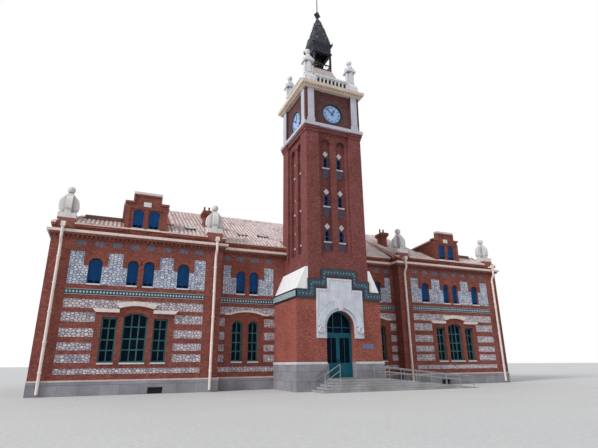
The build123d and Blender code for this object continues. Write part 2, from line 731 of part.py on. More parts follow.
with BuildPart() as fanlight_glass:
    with BuildSketch(wall_plane("front", frame_back)):
        make_face(head_line(0, transom_z + 100, 2 * (door_half - jamb / 2), door_spring, door_crown - jamb / 2))
    extrude(amount=-16)
save(fanlight_glass, "fanlight_glass")

# Door leaves: each hangs on three hinges and opens into the hall
leaf_low, leaf_high = plinth_top + 12, transom_z - 8
for name, sign in (("left_door_leaf", -1), ("right_door_leaf", 1)):
    with BuildPart() as leaf:
        near, far = leaf_gap / 2, hinge_x - 3
        middle = (leaf_low + leaf_high) / 2
        with Locations((sign * (near + far) / 2, leaf_back - leaf_thick / 2, middle)):
            Box(far - near, leaf_thick, leaf_high - leaf_low)
        for panel_z, panel_h in ((1350, 700), (2450, 1200), (3350, 400)):
            with Locations((sign * (near + far) / 2, leaf_back - leaf_thick, panel_z)):
                Box(far - near - 320, 30, panel_h, mode=Mode.SUBTRACT)
        for height in hinge_heights:
            with Locations((sign * hinge_x, hinge_y, height + 25)):
                Cylinder(knuckle_r, 50)
            with Locations((sign * (hinge_x - 25), hinge_y - 2, height + 25)):
                Box(40, 2 * knuckle_r - 4, 50)
            with Locations((sign * hinge_x, hinge_y, height + 25)):
                Cylinder(pin_r + pin_play, 60, mode=Mode.SUBTRACT)
        with Locations((sign * (near + 90), leaf_back - leaf_thick - 40, 1900)):
            Box(30, 80, 260)
    save(leaf, name)


def turned_box(x_low, x_high, out_low, out_high, z_low, z_high, turn):
    """Box against one tower face, given by its place along the face and its distance from the axis."""
    with BuildPart() as block:
        with Locations(((x_low + x_high) / 2, -(out_low + out_high) / 2, (z_low + z_high) / 2)):
            Box(x_high - x_low, out_high - out_low, z_high - z_low)
    return block.part.rotate(Axis.Z, turn).moved(Location((0, tower_axis_y, 0)))


def square_ring(outer, inner, low, high):
    """Four-sided wall around the tower's axis."""
    with BuildPart() as ring:
        with BuildSketch(Plane.XY.offset(low)):
            with Locations((0, tower_axis_y)):
                Rectangle(2 * outer, 2 * outer)
                Rectangle(2 * inner, 2 * inner, mode=Mode.SUBTRACT)
        extrude(amount=high - low)
    return ring.part


# Shaft: brick, with a recessed field and two deeper strips in each face, between corbelled corner piers
pier_edge = 1350.0
with BuildPart() as tower_shaft:
    add(square_ring(tower_half, tower_inner, base_top, shaft_top))
    for turn in (0, 90, 180, 270):
        low = 11000 if turn == 180 else 9000
        add(turned_box(-pier_edge, pier_edge, tower_half - 200, tower_half + 100, low, 19300, turn),
            mode=Mode.SUBTRACT)
        for out, pier_low in ((60, 19200), (130, 19440)):
            for x_low, x_high in ((-tower_half - out, -pier_edge), (pier_edge, tower_half + out)):
                add(turned_box(x_low, x_high, tower_half, tower_half + out, pier_low, shaft_top, turn))
        for x_low, x_high in ((-1100, -240), (240, 1100)):
            with BuildSketch(Plane((0, tower_axis_y, 0), x_dir=(cos(radians(turn)), sin(radians(turn)), 0),
                                   z_dir=(sin(radians(turn)), -cos(radians(turn)), 0)).offset(tower_half + 100)):
                make_face(head_line((x_low + x_high) / 2, low + 250, x_high - x_low, 18450, 18800))
            extrude(amount=-(slit_recess + 100), mode=Mode.SUBTRACT)
    for side, (face, middle) in tower_faces.items():
        plane = wall_plane(side, face)
        flip = -1 if plane.x_dir.X < 0 or plane.x_dir.Y < 0 else 1
        with BuildSketch(plane):
            for opening in slits:
                if slit_shown(side, opening[1]):
                    make_face(head_line(flip * (middle + opening[0]), *opening[1:]))
        extrude(amount=-1000, mode=Mode.SUBTRACT)
save(tower_shaft, "tower_shaft")

# Clock stage: brick corners with a set-back panel on each side that holds a dial
stage_panel, stage_wall = 2290.0, 500.0
with BuildPart() as clock_stage:
    add(square_ring(stage_panel, stage_panel - stage_wall, string_top, stage_top))
    for turn in (0, 90, 180, 270):
        add(turned_box(-tower_half, -1650, tower_half - 790, tower_half, string_top, stage_top, turn))
    for turn in (0, 90):
        with BuildSketch(Plane((0, tower_axis_y, clock_z), x_dir=(cos(radians(turn)), sin(radians(turn)), 0),
                               z_dir=(sin(radians(turn)), -cos(radians(turn)), 0)).offset(tower_half)):
            Circle(clock_r + 40)
        extrude(amount=-2 * tower_half, mode=Mode.SUBTRACT)
save(clock_stage, "clock_stage")

# White trim of the clock stage: string course, pilasters with flared feet
with BuildPart() as clock_stage_trim:
    add(square_ring(tower_half + 200, tower_inner, shaft_top, string_top))
    for turn in (0, 90, 180, 270):
        for x_low, x_high in ((-2240, -1700), (1700, 2240)):
            add(turned_box(x_low, x_high, tower_half, tower_half + 60, string_top, stage_top, turn))
            add(turned_box(x_low - 60, x_high + 60, tower_half, tower_half + 70, string_top, 20370, turn))
save(clock_stage_trim, "clock_stage_trim")

# Dials: a disc and a dark ring in each side, with the spindle that carries the hands
with BuildPart() as clock_dials:
    for turn in (0, 90, 180, 270):
        plane = Plane((0, tower_axis_y, clock_z), x_dir=(cos(radians(turn)), sin(radians(turn)), 0),
                      z_dir=(sin(radians(turn)), -cos(radians(turn)), 0))
        with BuildSketch(plane.offset(dial_face)):
            Circle(clock_r + 40)
        extrude(amount=-120)
        with BuildSketch(plane.offset(dial_face)):
            Circle(clock_r + 40)
            Circle(clock_r - 70, mode=Mode.SUBTRACT)
        extrude(amount=50)
        with BuildSketch(plane.offset(dial_face)):
            Circle(spindle_r)
        extrude(amount=100)
        with BuildSketch(plane.offset(dial_face + 85)):
            Circle(spindle_r * 2)
        extrude(amount=15)
save(clock_dials, "clock_dials")


def clock_hand(turn, length, width, standoff, angle):
    """One hand with its boss, pointing at the given angle clockwise from twelve."""
    plane = Plane((0, tower_axis_y, clock_z), x_dir=(cos(radians(turn)), sin(radians(turn)), 0),
                  z_dir=(sin(radians(turn)), -cos(radians(turn)), 0))
    with BuildPart() as hand:
        with BuildSketch(plane.offset(dial_face + standoff)) as outline:
            with BuildLine():
                Polyline((-width / 2, -length * 0.22), (-width * 0.6, 0), (-width * 0.75, length * 0.7), (0, length),
                         (width * 0.75, length * 0.7), (width * 0.6, 0), (width / 2, -length * 0.22), close=True)
            make_face()
            Circle(45)
            Circle(spindle_r + spindle_play, mode=Mode.SUBTRACT)
        extrude(amount=14)
        with BuildSketch(plane.offset(dial_face + standoff - 9)):
            Circle(35)
            Circle(spindle_r + spindle_play, mode=Mode.SUBTRACT)
        extrude(amount=10)
    axis = Axis((0, tower_axis_y, clock_z), plane.z_dir)
    return hand.part.rotate(axis, -angle)


minute_angle = clock_minute * 6.0
hour_angle = (clock_hour % 12) * 30.0 + clock_minute * 0.5
for face_name, turn in (("front", 0), ("right", 90), ("rear", 180), ("left", 270)):
    with BuildPart() as hour_hand:
        add(clock_hand(turn, 560, 62, 20, hour_angle))
    save(hour_hand, f"{face_name}_hour_hand")
    with BuildPart() as minute_hand:
        add(clock_hand(turn, 830, 46, 55, minute_angle))
    save(minute_hand, f"{face_name}_minute_hand")

# Cornice and deck above the clocks
with BuildPart() as tower_cornice:
    for half, low, high in ((2640, stage_top, stage_top + 220), (2830, stage_top + 220, deck_top)):
        with Locations((0, tower_axis_y, (low + high) / 2)):
            Box(2 * half, 2 * half, high - low)
save(tower_cornice, "tower_cornice")

# Parapet: pierced runs between the corner pinnacles
tower_pinnacle_base, tower_pinnacle_at = 950.0, 2000.0
parapet_end = tower_pinnacle_at - tower_pinnacle_base / 2
parapet_top, coping_top = 24450.0, 24600.0
hole, hole_pitch = 250.0, 350.0
with BuildPart() as parapet:
    for turn in (0, 90, 180, 270):
        add(turned_box(-parapet_end, parapet_end, 2240, 2440, deck_top, parapet_top, turn))
        add(turned_box(-parapet_end, parapet_end, 2190, 2490, parapet_top, coping_top, turn))
        for x in [hole_pitch * (k - 3.5) for k in range(8)]:
            add(turned_box(x - hole / 2, x + hole / 2, 2200, 2500, deck_top + 130, parapet_top - 100, turn),
                mode=Mode.SUBTRACT)
save(parapet, "parapet")


def square_loft(levels, x=0.0, y=0.0):
    """Solid through square sections round an upright axis, given as (height, half width)."""
    with BuildPart() as tapered:
        for (low, low_half), (high, high_half) in zip(levels, levels[1:]):
            with BuildSketch(Plane((x, y, low))):
                Rectangle(2 * low_half, 2 * low_half)
            with BuildSketch(Plane((x, y, high))):
                Rectangle(2 * high_half, 2 * high_half)
            loft(ruled=True)
    return tapered.part


# Tower pinnacles: splayed block, cross-shaped shaft, canopy with four gables, and a ball
shaft_foot, canopy_low, ball_low = 24750.0, 25850.0, 26750.0
with BuildPart() as one_tower_pinnacle:
    add(square_loft([(deck_top, tower_pinnacle_base / 2), (24250, tower_pinnacle_base / 2), (24580, 310),
                     (shaft_foot, 300)]))
    for size_x, size_y in ((660, 300), (300, 660), (440, 440)):
        with Locations((0, 0, (shaft_foot + canopy_low) / 2)):
            Box(size_x, size_y, canopy_low - shaft_foot)
    add(square_loft([(canopy_low, 430), (canopy_low + 90, 430), (canopy_low + 650, 170), (ball_low, 85)]))
    for turn in (0, 90):
        with BuildSketch(Plane.XZ.rotated((0, 0, turn)).offset(-430)):
            with BuildLine():
                Polyline((-300, canopy_low), (300, canopy_low), (0, canopy_low + 480), close=True)
            make_face()
        extrude(amount=860)
    with Locations((0, 0, ball_low + 190)):
        Sphere(230)

with BuildPart() as tower_pinnacles:
    for x in (-tower_pinnacle_at, tower_pinnacle_at):
        for y in (-tower_pinnacle_at, tower_pinnacle_at):
            add(one_tower_pinnacle.part.moved(Location((x, tower_axis_y + y, 0))))
save(tower_pinnacles, "tower_pinnacles")

# Iron belfry: low sheet roof, four posts with rails, a frieze, the bell and the spire
belfry_half, belfry_foot, belfry_head = 800.0, 26500.0, 28300.0
belfry_eave = 29000.0
with BuildPart() as belfry_roof:
    add(square_loft([(deck_top, 1950), (24300, 1950), (24900, 1560), (25500, 1260), (26100, 1010),
                     (belfry_foot, belfry_half + 80)], 0, tower_axis_y))
    for x in (-tower_pinnacle_at, tower_pinnacle_at):
        for y in (-tower_pinnacle_at, tower_pinnacle_at):
            with Locations((x, tower_axis_y + y, 25000)):
                Box(tower_pinnacle_base, tower_pinnacle_base, 4000, mode=Mode.SUBTRACT)
save(belfry_roof, "belfry_roof")

with BuildPart() as belfry_frame:
    post = 150.0
    for x in (-belfry_half, belfry_half):
        for y in (-belfry_half, belfry_half):
            with Locations((x, tower_axis_y + y, (belfry_foot + belfry_head) / 2)):
                Box(post, post, belfry_head - belfry_foot)
    for turn in (0, 90, 180, 270):
        for low, high in ((belfry_foot, belfry_foot + 150), (27080, 27160)):
            add(turned_box(-belfry_half, belfry_half, belfry_half - 45, belfry_half + 45, low, high, turn))
    add(square_ring(belfry_half + 140, belfry_half - 100, belfry_head, belfry_head + 110))
    add(square_ring(belfry_half + 60, belfry_half - 40, belfry_head + 110, belfry_eave))
    with Locations((0, tower_axis_y, belfry_eave - 110)):
        Box(2 * belfry_half, 160, 220)
save(belfry_frame, "belfry_frame")

with BuildPart() as bell:
    with BuildSketch(Plane.XZ.offset(-tower_axis_y)):
        with BuildLine():
            Polyline((0, 28780), (90, 28780), (90, 28560), (210, 28500), (270, 28300), (300, 27850), (360, 27560),
                     (450, 27380), (450, 27330), (400, 27330), (310, 27560), (250, 27850), (215, 28250), (0, 28420),
                     close=True)
        make_face()
    revolve(axis=Axis((0, tower_axis_y, 0), (0, 0, 1)))
    with Locations((0, tower_axis_y, 27900)):
        Cylinder(25, 1060)
    with Locations((0, tower_axis_y, 27400)):
        Sphere(85)
save(bell, "bell")

spire_eave = 29300.0
with BuildPart() as spire:
    add(square_loft([(belfry_eave, belfry_half + 80), (spire_eave, belfry_half + 230), (29600, 820), (30600, 610),
                     (31200, 490), (31700, 360), (32500, 180), (32700, 100)], 0, tower_axis_y))
    for turn in (0, 90, 180, 270):
        with BuildSketch(Plane((0, tower_axis_y, 0), x_dir=(cos(radians(turn)), sin(radians(turn)), 0),
                               z_dir=(sin(radians(turn)), -cos(radians(turn)), 0)).offset(belfry_half - 100)):
            with BuildLine():
                Polyline((-850, spire_eave - 20), (850, spire_eave - 20), (0, spire_eave + 850), close=True)
            make_face()
        extrude(amount=300)
    tip_at = belfry_half + 180
    for x in (-tip_at, tip_at):
        for y in (-tip_at, tip_at):
            with Locations((x, tower_axis_y + y, spire_eave - 30)):
                Cone(55, 10, 420, align=(Align.CENTER, Align.CENTER, Align.MIN))
    with Locations((0, tower_axis_y, 32700)):
        Cylinder(45, 2300, align=(Align.CENTER, Align.CENTER, Align.MIN))
    for turn in (0, 90):
        with BuildSketch(Plane((0, tower_axis_y, 33180), x_dir=(cos(radians(turn)), sin(radians(turn)), 0),
                               z_dir=(sin(radians(turn)), -cos(radians(turn)), 0)).offset(-25)):
            with BuildLine():
                Polyline((0, -470), (350, 0), (0, 470), (-350, 0), close=True)
            make_face()
        extrude(amount=50)
save(spire, "spire")

# Entrance landing with a flight of steps to the left, a ramp to the right and steel rails
landing_z = plinth_top - 20
landing_front = front - 5230
landing_left, landing_right, ramp_end = -1100.0, 2200.0, 10200.0
landing_back = tower_front - rim
riser, tread = landing_z / 5, 300.0
with BuildPart() as entrance_steps:
    with BuildSketch(Plane.XZ.offset(-landing_back)):
        with BuildLine():
            points = [(landing_right, 0), (landing_right, landing_z), (landing_left, landing_z)]
            for step in range(1, 5):
                points += [(landing_left - tread * (step - 1), landing_z - riser * step),
                           (landing_left - tread * step, landing_z - riser * step)]
            points += [(landing_left - tread * 4, 0)]
            Polyline(*points, close=True)
        make_face()
    extrude(amount=landing_back - landing_front)
save(entrance_steps, "entrance_steps")

ramp_back = landing_front + 1500
with BuildPart() as ramp:
    with BuildSketch(Plane.XZ.offset(-ramp_back)):
        with BuildLine():
            Polyline((landing_right, 0), (ramp_end, 0), (ramp_end, 20), (landing_right, landing_z), close=True)
        make_face()
    extrude(amount=ramp_back - landing_front)
save(ramp, "ramp")

rail_r, post_r = 25.0, 22.0
with BuildPart() as handrails:
    flight_foot = landing_left - tread * 3.5
    for rail_y in (landing_front + 80, landing_back - 80):
        foot, top = (flight_foot, riser), (landing_left + post_r, landing_z)
        for x, z in (foot, top):
            add(bar_between((x, rail_y, z), (x, rail_y, z + 900), post_r))
        for up in (900, 500):
            add(bar_between((foot[0], rail_y, foot[1] + up), (top[0], rail_y, top[1] + up), rail_r))
    slope = (20 - landing_z) / (ramp_end - landing_right)
    for rail_y in (landing_front + 80, ramp_back - 80):
        for x in [landing_right + 100 + 1250 * k for k in range(7)]:
            ground = landing_z + slope * (x - landing_right)
            add(bar_between((x, rail_y, ground - 5), (x, rail_y, ground + 720), post_r))
        for up in (720, 430):
            ends = [(x, rail_y, landing_z + slope * (x - landing_right) + up)
                    for x in (landing_right + 100, landing_right + 7600)]
            add(bar_between(*ends, rail_r))
    add(ramp.part, mode=Mode.SUBTRACT)
save(handrails, "handrails")
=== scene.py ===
import math

import bmesh
import bpy
from mathutils import Matrix, Vector


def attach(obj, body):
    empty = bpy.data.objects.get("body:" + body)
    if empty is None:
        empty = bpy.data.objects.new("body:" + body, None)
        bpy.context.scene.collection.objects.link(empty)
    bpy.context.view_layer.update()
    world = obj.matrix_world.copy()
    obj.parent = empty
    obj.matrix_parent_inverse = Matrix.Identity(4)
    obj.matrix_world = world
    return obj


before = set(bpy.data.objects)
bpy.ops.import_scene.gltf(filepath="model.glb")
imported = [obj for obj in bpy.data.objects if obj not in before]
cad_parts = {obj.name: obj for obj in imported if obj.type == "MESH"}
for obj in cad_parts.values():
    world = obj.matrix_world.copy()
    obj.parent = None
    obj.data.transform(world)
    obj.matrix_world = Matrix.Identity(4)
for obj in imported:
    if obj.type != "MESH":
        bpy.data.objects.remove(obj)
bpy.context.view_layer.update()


# Street view and light
# The eye stands on the far pavement, left of the entrance, and looks up at the clock tower.
# A soft key comes from the left and a pale surround fills the rest; the ground is plain.
EYE = Vector((-14.95, -36.05, 1.786))
HEADING, CLIMB, LEAN = math.radians(23.265), math.radians(17.67), math.radians(-0.46)
ahead = Vector((math.sin(HEADING) * math.cos(CLIMB), math.cos(HEADING) * math.cos(CLIMB), math.sin(CLIMB)))
level = Vector((math.cos(HEADING), -math.sin(HEADING), 0))
upward = level.cross(ahead)
across = level * math.cos(LEAN) + upward * math.sin(LEAN)
upward = upward * math.cos(LEAN) - level * math.sin(LEAN)


def stand(name, data):
    """Put a new object into the scene."""
    thing = bpy.data.objects.new(name, data)
    bpy.context.scene.collection.objects.link(thing)
    return thing


street_camera = stand("street_camera", bpy.data.cameras.new("street_camera"))
street_camera.data.sensor_width = 36.0
street_camera.data.lens = 36.0 * 436.7 / 598
street_camera.data.clip_end = 500
street_camera.matrix_world = Matrix.Translation(EYE) @ Matrix((across, upward, -ahead)).transposed().to_4x4()
bpy.context.scene.camera = street_camera
key_light = stand("key_light", bpy.data.lights.new("key_light", "SUN"))
key_light.data.energy = 2.1
key_light.data.angle = math.radians(16)
key_light.rotation_euler = Vector((0.83, 0.26, -0.52)).to_track_quat("-Z", "Y").to_euler()
bpy.context.scene.view_settings.view_transform = "Standard"
sky = bpy.data.worlds.new("studio")
bpy.context.scene.world = sky
sky.use_nodes = True


def part_of(tree, kind, feeds=None, **settings):
    """A node with its settings; each feed is a plain value, a socket, or a node for its first output."""
    made = tree.nodes.new(kind)
    for name, value in settings.items():
        setattr(made, name, value)
    for socket, value in (feeds or {}).items():
        if isinstance(value, bpy.types.Node):
            value = value.outputs[0]
        if isinstance(value, bpy.types.NodeSocket):
            tree.links.new(value, made.inputs[socket])
        else:
            made.inputs[socket].default_value = value
    return made


def sum_of(tree, operation, first, second=0.5):
    """A sum over one or two values."""
    return part_of(tree, "ShaderNodeMath", {0: first, 1: second}, operation=operation)


studio = sky.node_tree
studio.nodes.clear()
ray = part_of(studio, "ShaderNodeLightPath").outputs
seen = sum_of(studio, "MAXIMUM", ray["Is Camera Ray"], ray["Is Glossy Ray"])
seen = sum_of(studio, "MAXIMUM", seen, ray["Is Transmission Ray"])
fill = part_of(studio, "ShaderNodeBackground", {"Color": (0.96, 0.98, 1.0, 1), "Strength": 0.62})
backdrop = part_of(studio, "ShaderNodeBackground", {"Color": (1, 1, 1, 1), "Strength": 1.0})
part_of(studio, "ShaderNodeOutputWorld",
        {"Surface": part_of(studio, "ShaderNodeMixShader", {0: seen, 1: fill, 2: backdrop})})


def shade(red, green, blue):
    """A paint-card colour, 0 to 255, as the linear colour that a shader takes."""
    return tuple((c / 255 / 12.92) if c < 11 else ((c / 255 + 0.055) / 1.055) ** 2.4
                 for c in (red, green, blue)) + (1.0,)


def new_finish(name, roughness, metallic=0.0, gloss=0.5):
    """An empty finish with its even values set on the shader's own sockets."""
    finish = bpy.data.materials.new(name)
    finish.use_nodes = True
    shader = finish.node_tree.nodes["Principled BSDF"]
    for socket, value in (("Roughness", roughness), ("Metallic", metallic), ("Specular IOR Level", gloss)):
        shader.inputs[socket].default_value = value
    return finish, finish.node_tree, shader


def blend_of(tree, share, first, second, mode="MIX"):
    """Two colours mixed by a share."""
    return part_of(tree, "ShaderNodeMix", {0: share, 6: first, 7: second},
                   data_type="RGBA", blend_type=mode).outputs[2]


def dulled(tree, colour, red, green, blue):
    """A colour seen through a paint-card colour."""
    return blend_of(tree, 1.0, colour, shade(red, green, blue), "MULTIPLY")


def spread(tree, value, low, high, start=0.0, end=1.0):
    """A value from start to end, spread from low to high."""
    return part_of(tree, "ShaderNodeMapRange", {"Value": value, 1: start, 2: end, 3: low, 4: high})


def own_place(tree):
    """Where a point lies in the piece's own coordinates."""
    return part_of(tree, "ShaderNodeTexCoord").outputs["Object"]


def cloud(tree, scale, detail=4.0, roughness=0.6, stretch=(1, 1, 1)):
    """Uneven shading over the piece's own coordinates, from 0 to 1."""
    place = part_of(tree, "ShaderNodeMapping", {"Vector": own_place(tree), "Scale": stretch})
    noise = part_of(tree, "ShaderNodeTexNoise",
                    {"Vector": place, "Scale": scale, "Detail": detail, "Roughness": roughness})
    return spread(tree, noise.outputs["Fac"], 0.0, 1.0, 0.3, 0.7)


def coat(tree, shader, colour, height=None, depth=0.0):
    """Colour a shader, and give it bump from a height between 0 and 1."""
    tree.links.new(colour, shader.inputs["Base Color"])
    if height:
        bump = part_of(tree, "ShaderNodeBump", {"Height": height, "Distance": depth, "Strength": 1.0})
        tree.links.new(bump.outputs["Normal"], shader.inputs["Normal"])


def worn_finish(name, pale, deep, roughness, scale=1.5, grain=60.0, depth=0.004, metallic=0.0, gloss=0.5):
    """A cast, painted or dressed surface: cloudy colour, a fine grain and rain streaks."""
    finish, tree, shader = new_finish(name, roughness, metallic, gloss)
    colour = blend_of(tree, cloud(tree, scale), shade(*pale), shade(*deep))
    streak = spread(tree, cloud(tree, 2.2, 3.0, 0.5, (3.0, 3.0, 0.35)), 0.0, 0.35)
    colour = blend_of(tree, streak, colour, shade(*[c * 0.82 for c in deep]))
    coat(tree, shader, colour, cloud(tree, grain, 3.0), depth)
    return finish


def recoat(finish):
    """The tree, the base colour's socket and what feeds it, of a finish that gets one more layer."""
    colour_in = finish.node_tree.nodes["Principled BSDF"].inputs["Base Color"]
    return finish.node_tree, colour_in, colour_in.links[0].from_socket


def painted_recess_shade(finish, reach, share):
    """Darken the recesses of a finish with painted shade, from ambient occlusion over the piece itself."""
    tree, colour_in, unshaded_colour = recoat(finish)
    hollow = part_of(tree, "ShaderNodeAmbientOcclusion", {"Distance": reach}, samples=12, only_local=True)
    shade_share = spread(tree, hollow.outputs["AO"], share, 0.0, 0.25, 0.8)
    tree.links.new(blend_of(tree, shade_share, unshaded_colour, dulled(tree, unshaded_colour, 112, 104, 104)), colour_in)
    return finish


def dress_node(finish, *names):
    """Give solids of the frame their finish."""
    for name in names:
        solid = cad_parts[name]
        if solid.material_slots:
            solid.material_slots[0].material = finish
        else:
            solid.data.materials.append(finish)


ground = stand("ground", bpy.data.meshes.new("ground"))
ground.data.from_pydata([(-400, -300, 0), (400, -300, 0), (400, 500, 0), (-400, 500, 0)], [], [(0, 1, 2, 3)])
ground.data.materials.append(worn_finish("pale_ground", (214, 214, 214), (208, 208, 208), 0.9, 0.2, 4.0, 0.0005))


# Plinths, floors, steps and ramp
# Grey granite blocks carry the brick walls; the same stone makes the landing, five steps and the ramp.
# The joints between the blocks show as thin dark lines, and the floors inside are plain slabs.
def laid(tree, first, second, joint, wide, high, gap=0.006, smooth=0.1, bias=0.0, offset=0.5):
    """Blocks laid in level courses along whichever wall they face: their colour, and where a joint is."""
    place = part_of(tree, "ShaderNodeSeparateXYZ", {0: own_place(tree)})
    run = sum_of(tree, "ADD", place, place.outputs[1])
    blocks = part_of(tree, "ShaderNodeTexBrick",
                     {"Vector": part_of(tree, "ShaderNodeCombineXYZ", {0: run, 1: place.outputs[2]}),
                      "Color1": shade(*first), "Color2": shade(*second), "Mortar": shade(*joint), "Scale": 1.0,
                      "Mortar Size": gap, "Mortar Smooth": smooth, "Bias": bias, "Brick Width": wide,
                      "Row Height": high}, offset=offset)
    return blocks.outputs["Color"], blocks.outputs["Fac"]


def set_back(tree, joints):
    """Height of blocks whose joints lie a little back."""
    return sum_of(tree, "SUBTRACT", 1.0, joints)


def block_stone(name, pale, deep, joint, wide, high, roughness=0.75):
    """Dressed blocks with thin joints."""
    finish, tree, shader = new_finish(name, roughness)
    blocks, joints = laid(tree, pale, deep, joint, wide, high, 0.008, 0.3)
    fleck = blend_of(tree, cloud(tree, 45.0, 2.0, 0.8), shade(*deep), shade(*pale))
    colour = blend_of(tree, 0.30, blocks, fleck)
    colour = blend_of(tree, cloud(tree, 0.7), colour, dulled(tree, colour, 205, 203, 200))
    coat(tree, shader, colour, set_back(tree, joints), 0.012)
    return finish


dress_node(block_stone("granite", (166, 165, 173), (142, 141, 149), (92, 92, 100), 1.15, 0.62),
           "granite_plinth", "tower_plinth")
dress_node(block_stone("granite_paving", (176, 175, 178), (156, 155, 160), (110, 110, 116), 0.9, 0.16),
           "entrance_steps", "ramp")
dress_node(worn_finish("floor_slab", (150, 146, 140), (128, 124, 120), 0.8),
           "ground_floor", "upper_floor", "attic_floor")


# Brick walls
# Solid red facing brick in lime mortar, laid in level courses and weathered darker in patches.
# The recesses and the tower base are of a paler brick, and the clock stage of a darker one.
HOUSE_TONES = (168, 96, 84), (140, 76, 68), (146, 118, 108)


def brick_courses(tree, light, dark, joint):
    """Colour of facing brick: courses, a change from brick to brick, soot; and where a joint is."""
    bricks, joints = laid(tree, light, dark, joint, 0.26, 0.075, 0.006, 0.4, -0.1)
    colour = blend_of(tree, cloud(tree, 0.8, 5.0), bricks, dulled(tree, bricks, 208, 196, 192))
    pale = spread(tree, cloud(tree, 7.0, 2.0, 0.6, (1, 1, 1.8)), -0.3, 0.45)
    colour = blend_of(tree, pale, colour, shade(*[min(255, c * 1.2 + 6) for c in light]))
    patch = spread(tree, cloud(tree, 4.5, 4.0, 0.7, (1, 1, 2.2)), -0.1, 0.75)
    return blend_of(tree, patch, colour, shade(*[c * 0.72 for c in dark])), joints


def brickwork(name, light, dark, joint):
    """Facing brick with its mortar courses a little back."""
    finish, tree, shader = new_finish(name, 0.88, gloss=0.25)
    colour, joints = brick_courses(tree, light, dark, joint)
    coat(tree, shader, colour, set_back(tree, joints), 0.01)
    return finish


def brick_below(finish, height):
    """Turn a finish into facing brick under a height, for pieces whose foot is brick."""
    tree, colour_in, above = recoat(finish)
    place = part_of(tree, "ShaderNodeSeparateXYZ", {0: own_place(tree)})
    low = sum_of(tree, "LESS_THAN", place.outputs[2], height)
    tree.links.new(blend_of(tree, low, above, brick_courses(tree, *HOUSE_TONES)[0]), colour_in)
    return finish


house_brick = brickwork("house_brick", *HOUSE_TONES)
tower_brick = brickwork("tower_brick", (154, 90, 86), (128, 72, 70), (132, 104, 98))
dress_node(house_brick, "left_pavilion_wall", "right_pavilion_wall", "end_walls", "rear_wall", "roof_gables",
           "dormers", "chimneys")
dress_node(brickwork("recess_brick", (196, 120, 102), (170, 102, 86), (166, 136, 122)), "recess_walls")
dress_node(brickwork("base_brick", (188, 107, 92), (160, 88, 78), (150, 120, 110)),
           "tower_base_left", "tower_base_right", "tower_base_head")
dress_node(tower_brick, "tower_shaft")
dress_node(brickwork("stage_brick", (122, 80, 80), (96, 60, 62), (104, 84, 82)), "clock_stage")


# Brick bands, window frames and heads
# Each storey's stone is framed by brick that stands out as far as the corner pilasters:
# level bands, three-light frames round the ground windows and blocks over the upper ones.
FRONT, RECESS, REAR, END = -5.05, -4.11, 9.95, 18.9      # faces of the four walls
PANEL, AXIS = (8.95, 17.7), 13.3                         # a pavilion's stone panel and its middle
PROUD = 0.012                                            # brick round the windows, over the bands
WINDOW_FOOT, PANEL_FOOT, BLOCK_FOOT, PANEL_HEAD = 1.90, 6.72, 7.95, 8.87
full_bands = [(0.82, 1.23), (1.57, 1.90), (4.96, 5.21), (5.79, 6.06), (6.42, 6.72), (8.87, 9.25), (9.60, 9.74)]
part_bands = [(2.41, 2.63), (3.11, 3.43), (3.98, 4.36)]
full_rows = [(1.23, 1.57), (5.21, 5.79)]
part_rows = [(1.90, 2.41), (2.63, 3.11), (3.43, 3.98), (4.36, 4.96)]
brick_outlines = []        # (side, face, how far it stands out, outline)
stone_areas = []           # (side, face, rectangle)
frieze_panels = []         # (side, face, how far it stands out, outline)
tile_runs = []             # (side, face, from, to, how far it stands out)


def rect(left, right, bottom, top):
    """The four corners of a rectangle."""
    return [(left, bottom), (left, top), (right, top), (right, bottom)]


def handed(sign, near, far):
    """A stretch on the right (1) or mirrored to the left (-1), low end first."""
    return sorted((sign * near, sign * far))


def on_wall(side, face, u, z, out):
    """A point on one of the building's four sides, u along the wall and out from its face."""
    return {"front": (u, face - out, z), "rear": (u, face + out, z),
            "left": (face - out, u, z), "right": (face + out, u, z)}[side]


def arc(left, right, spring, crown, steps=10):
    """Points of a window head from its right springing to its left one."""
    half, rise = (right - left) / 2, crown - spring
    if rise < 0.005:
        return [(right, spring), (left, spring)]
    radius = (half * half + rise * rise) / (2 * rise)
    reach = math.asin(min(1.0, half / radius))
    angles = [reach - 2 * reach * k / steps for k in range(steps + 1)]
    return [((left + right) / 2 + radius * math.sin(a), crown - radius + radius * math.cos(a)) for a in angles]


def comb(left, right, base, top, windows, foot):
    """Outline of a brick block over windows: base at its ends, foot between the windows."""
    outline = [(left, base), *top, (right, base)]
    for k, (middle, wide, spring, crown) in enumerate(sorted(windows, reverse=True)):
        outline.append((middle + wide / 2, base if k == 0 else foot))
        outline += arc(middle - wide / 2, middle + wide / 2, spring, crown)
        outline.append((middle - wide / 2, base if k == len(windows) - 1 else foot))
    return outline


def gaps_between(low, high, taken):
    """What is left of a stretch of wall between the parts that are taken."""
    left = []
    for start, end in sorted(taken):
        if start > low + 0.01:
            left.append((low, start))
        low = max(low, end)
    if high > low + 0.01:
        left.append((low, high))
    return left


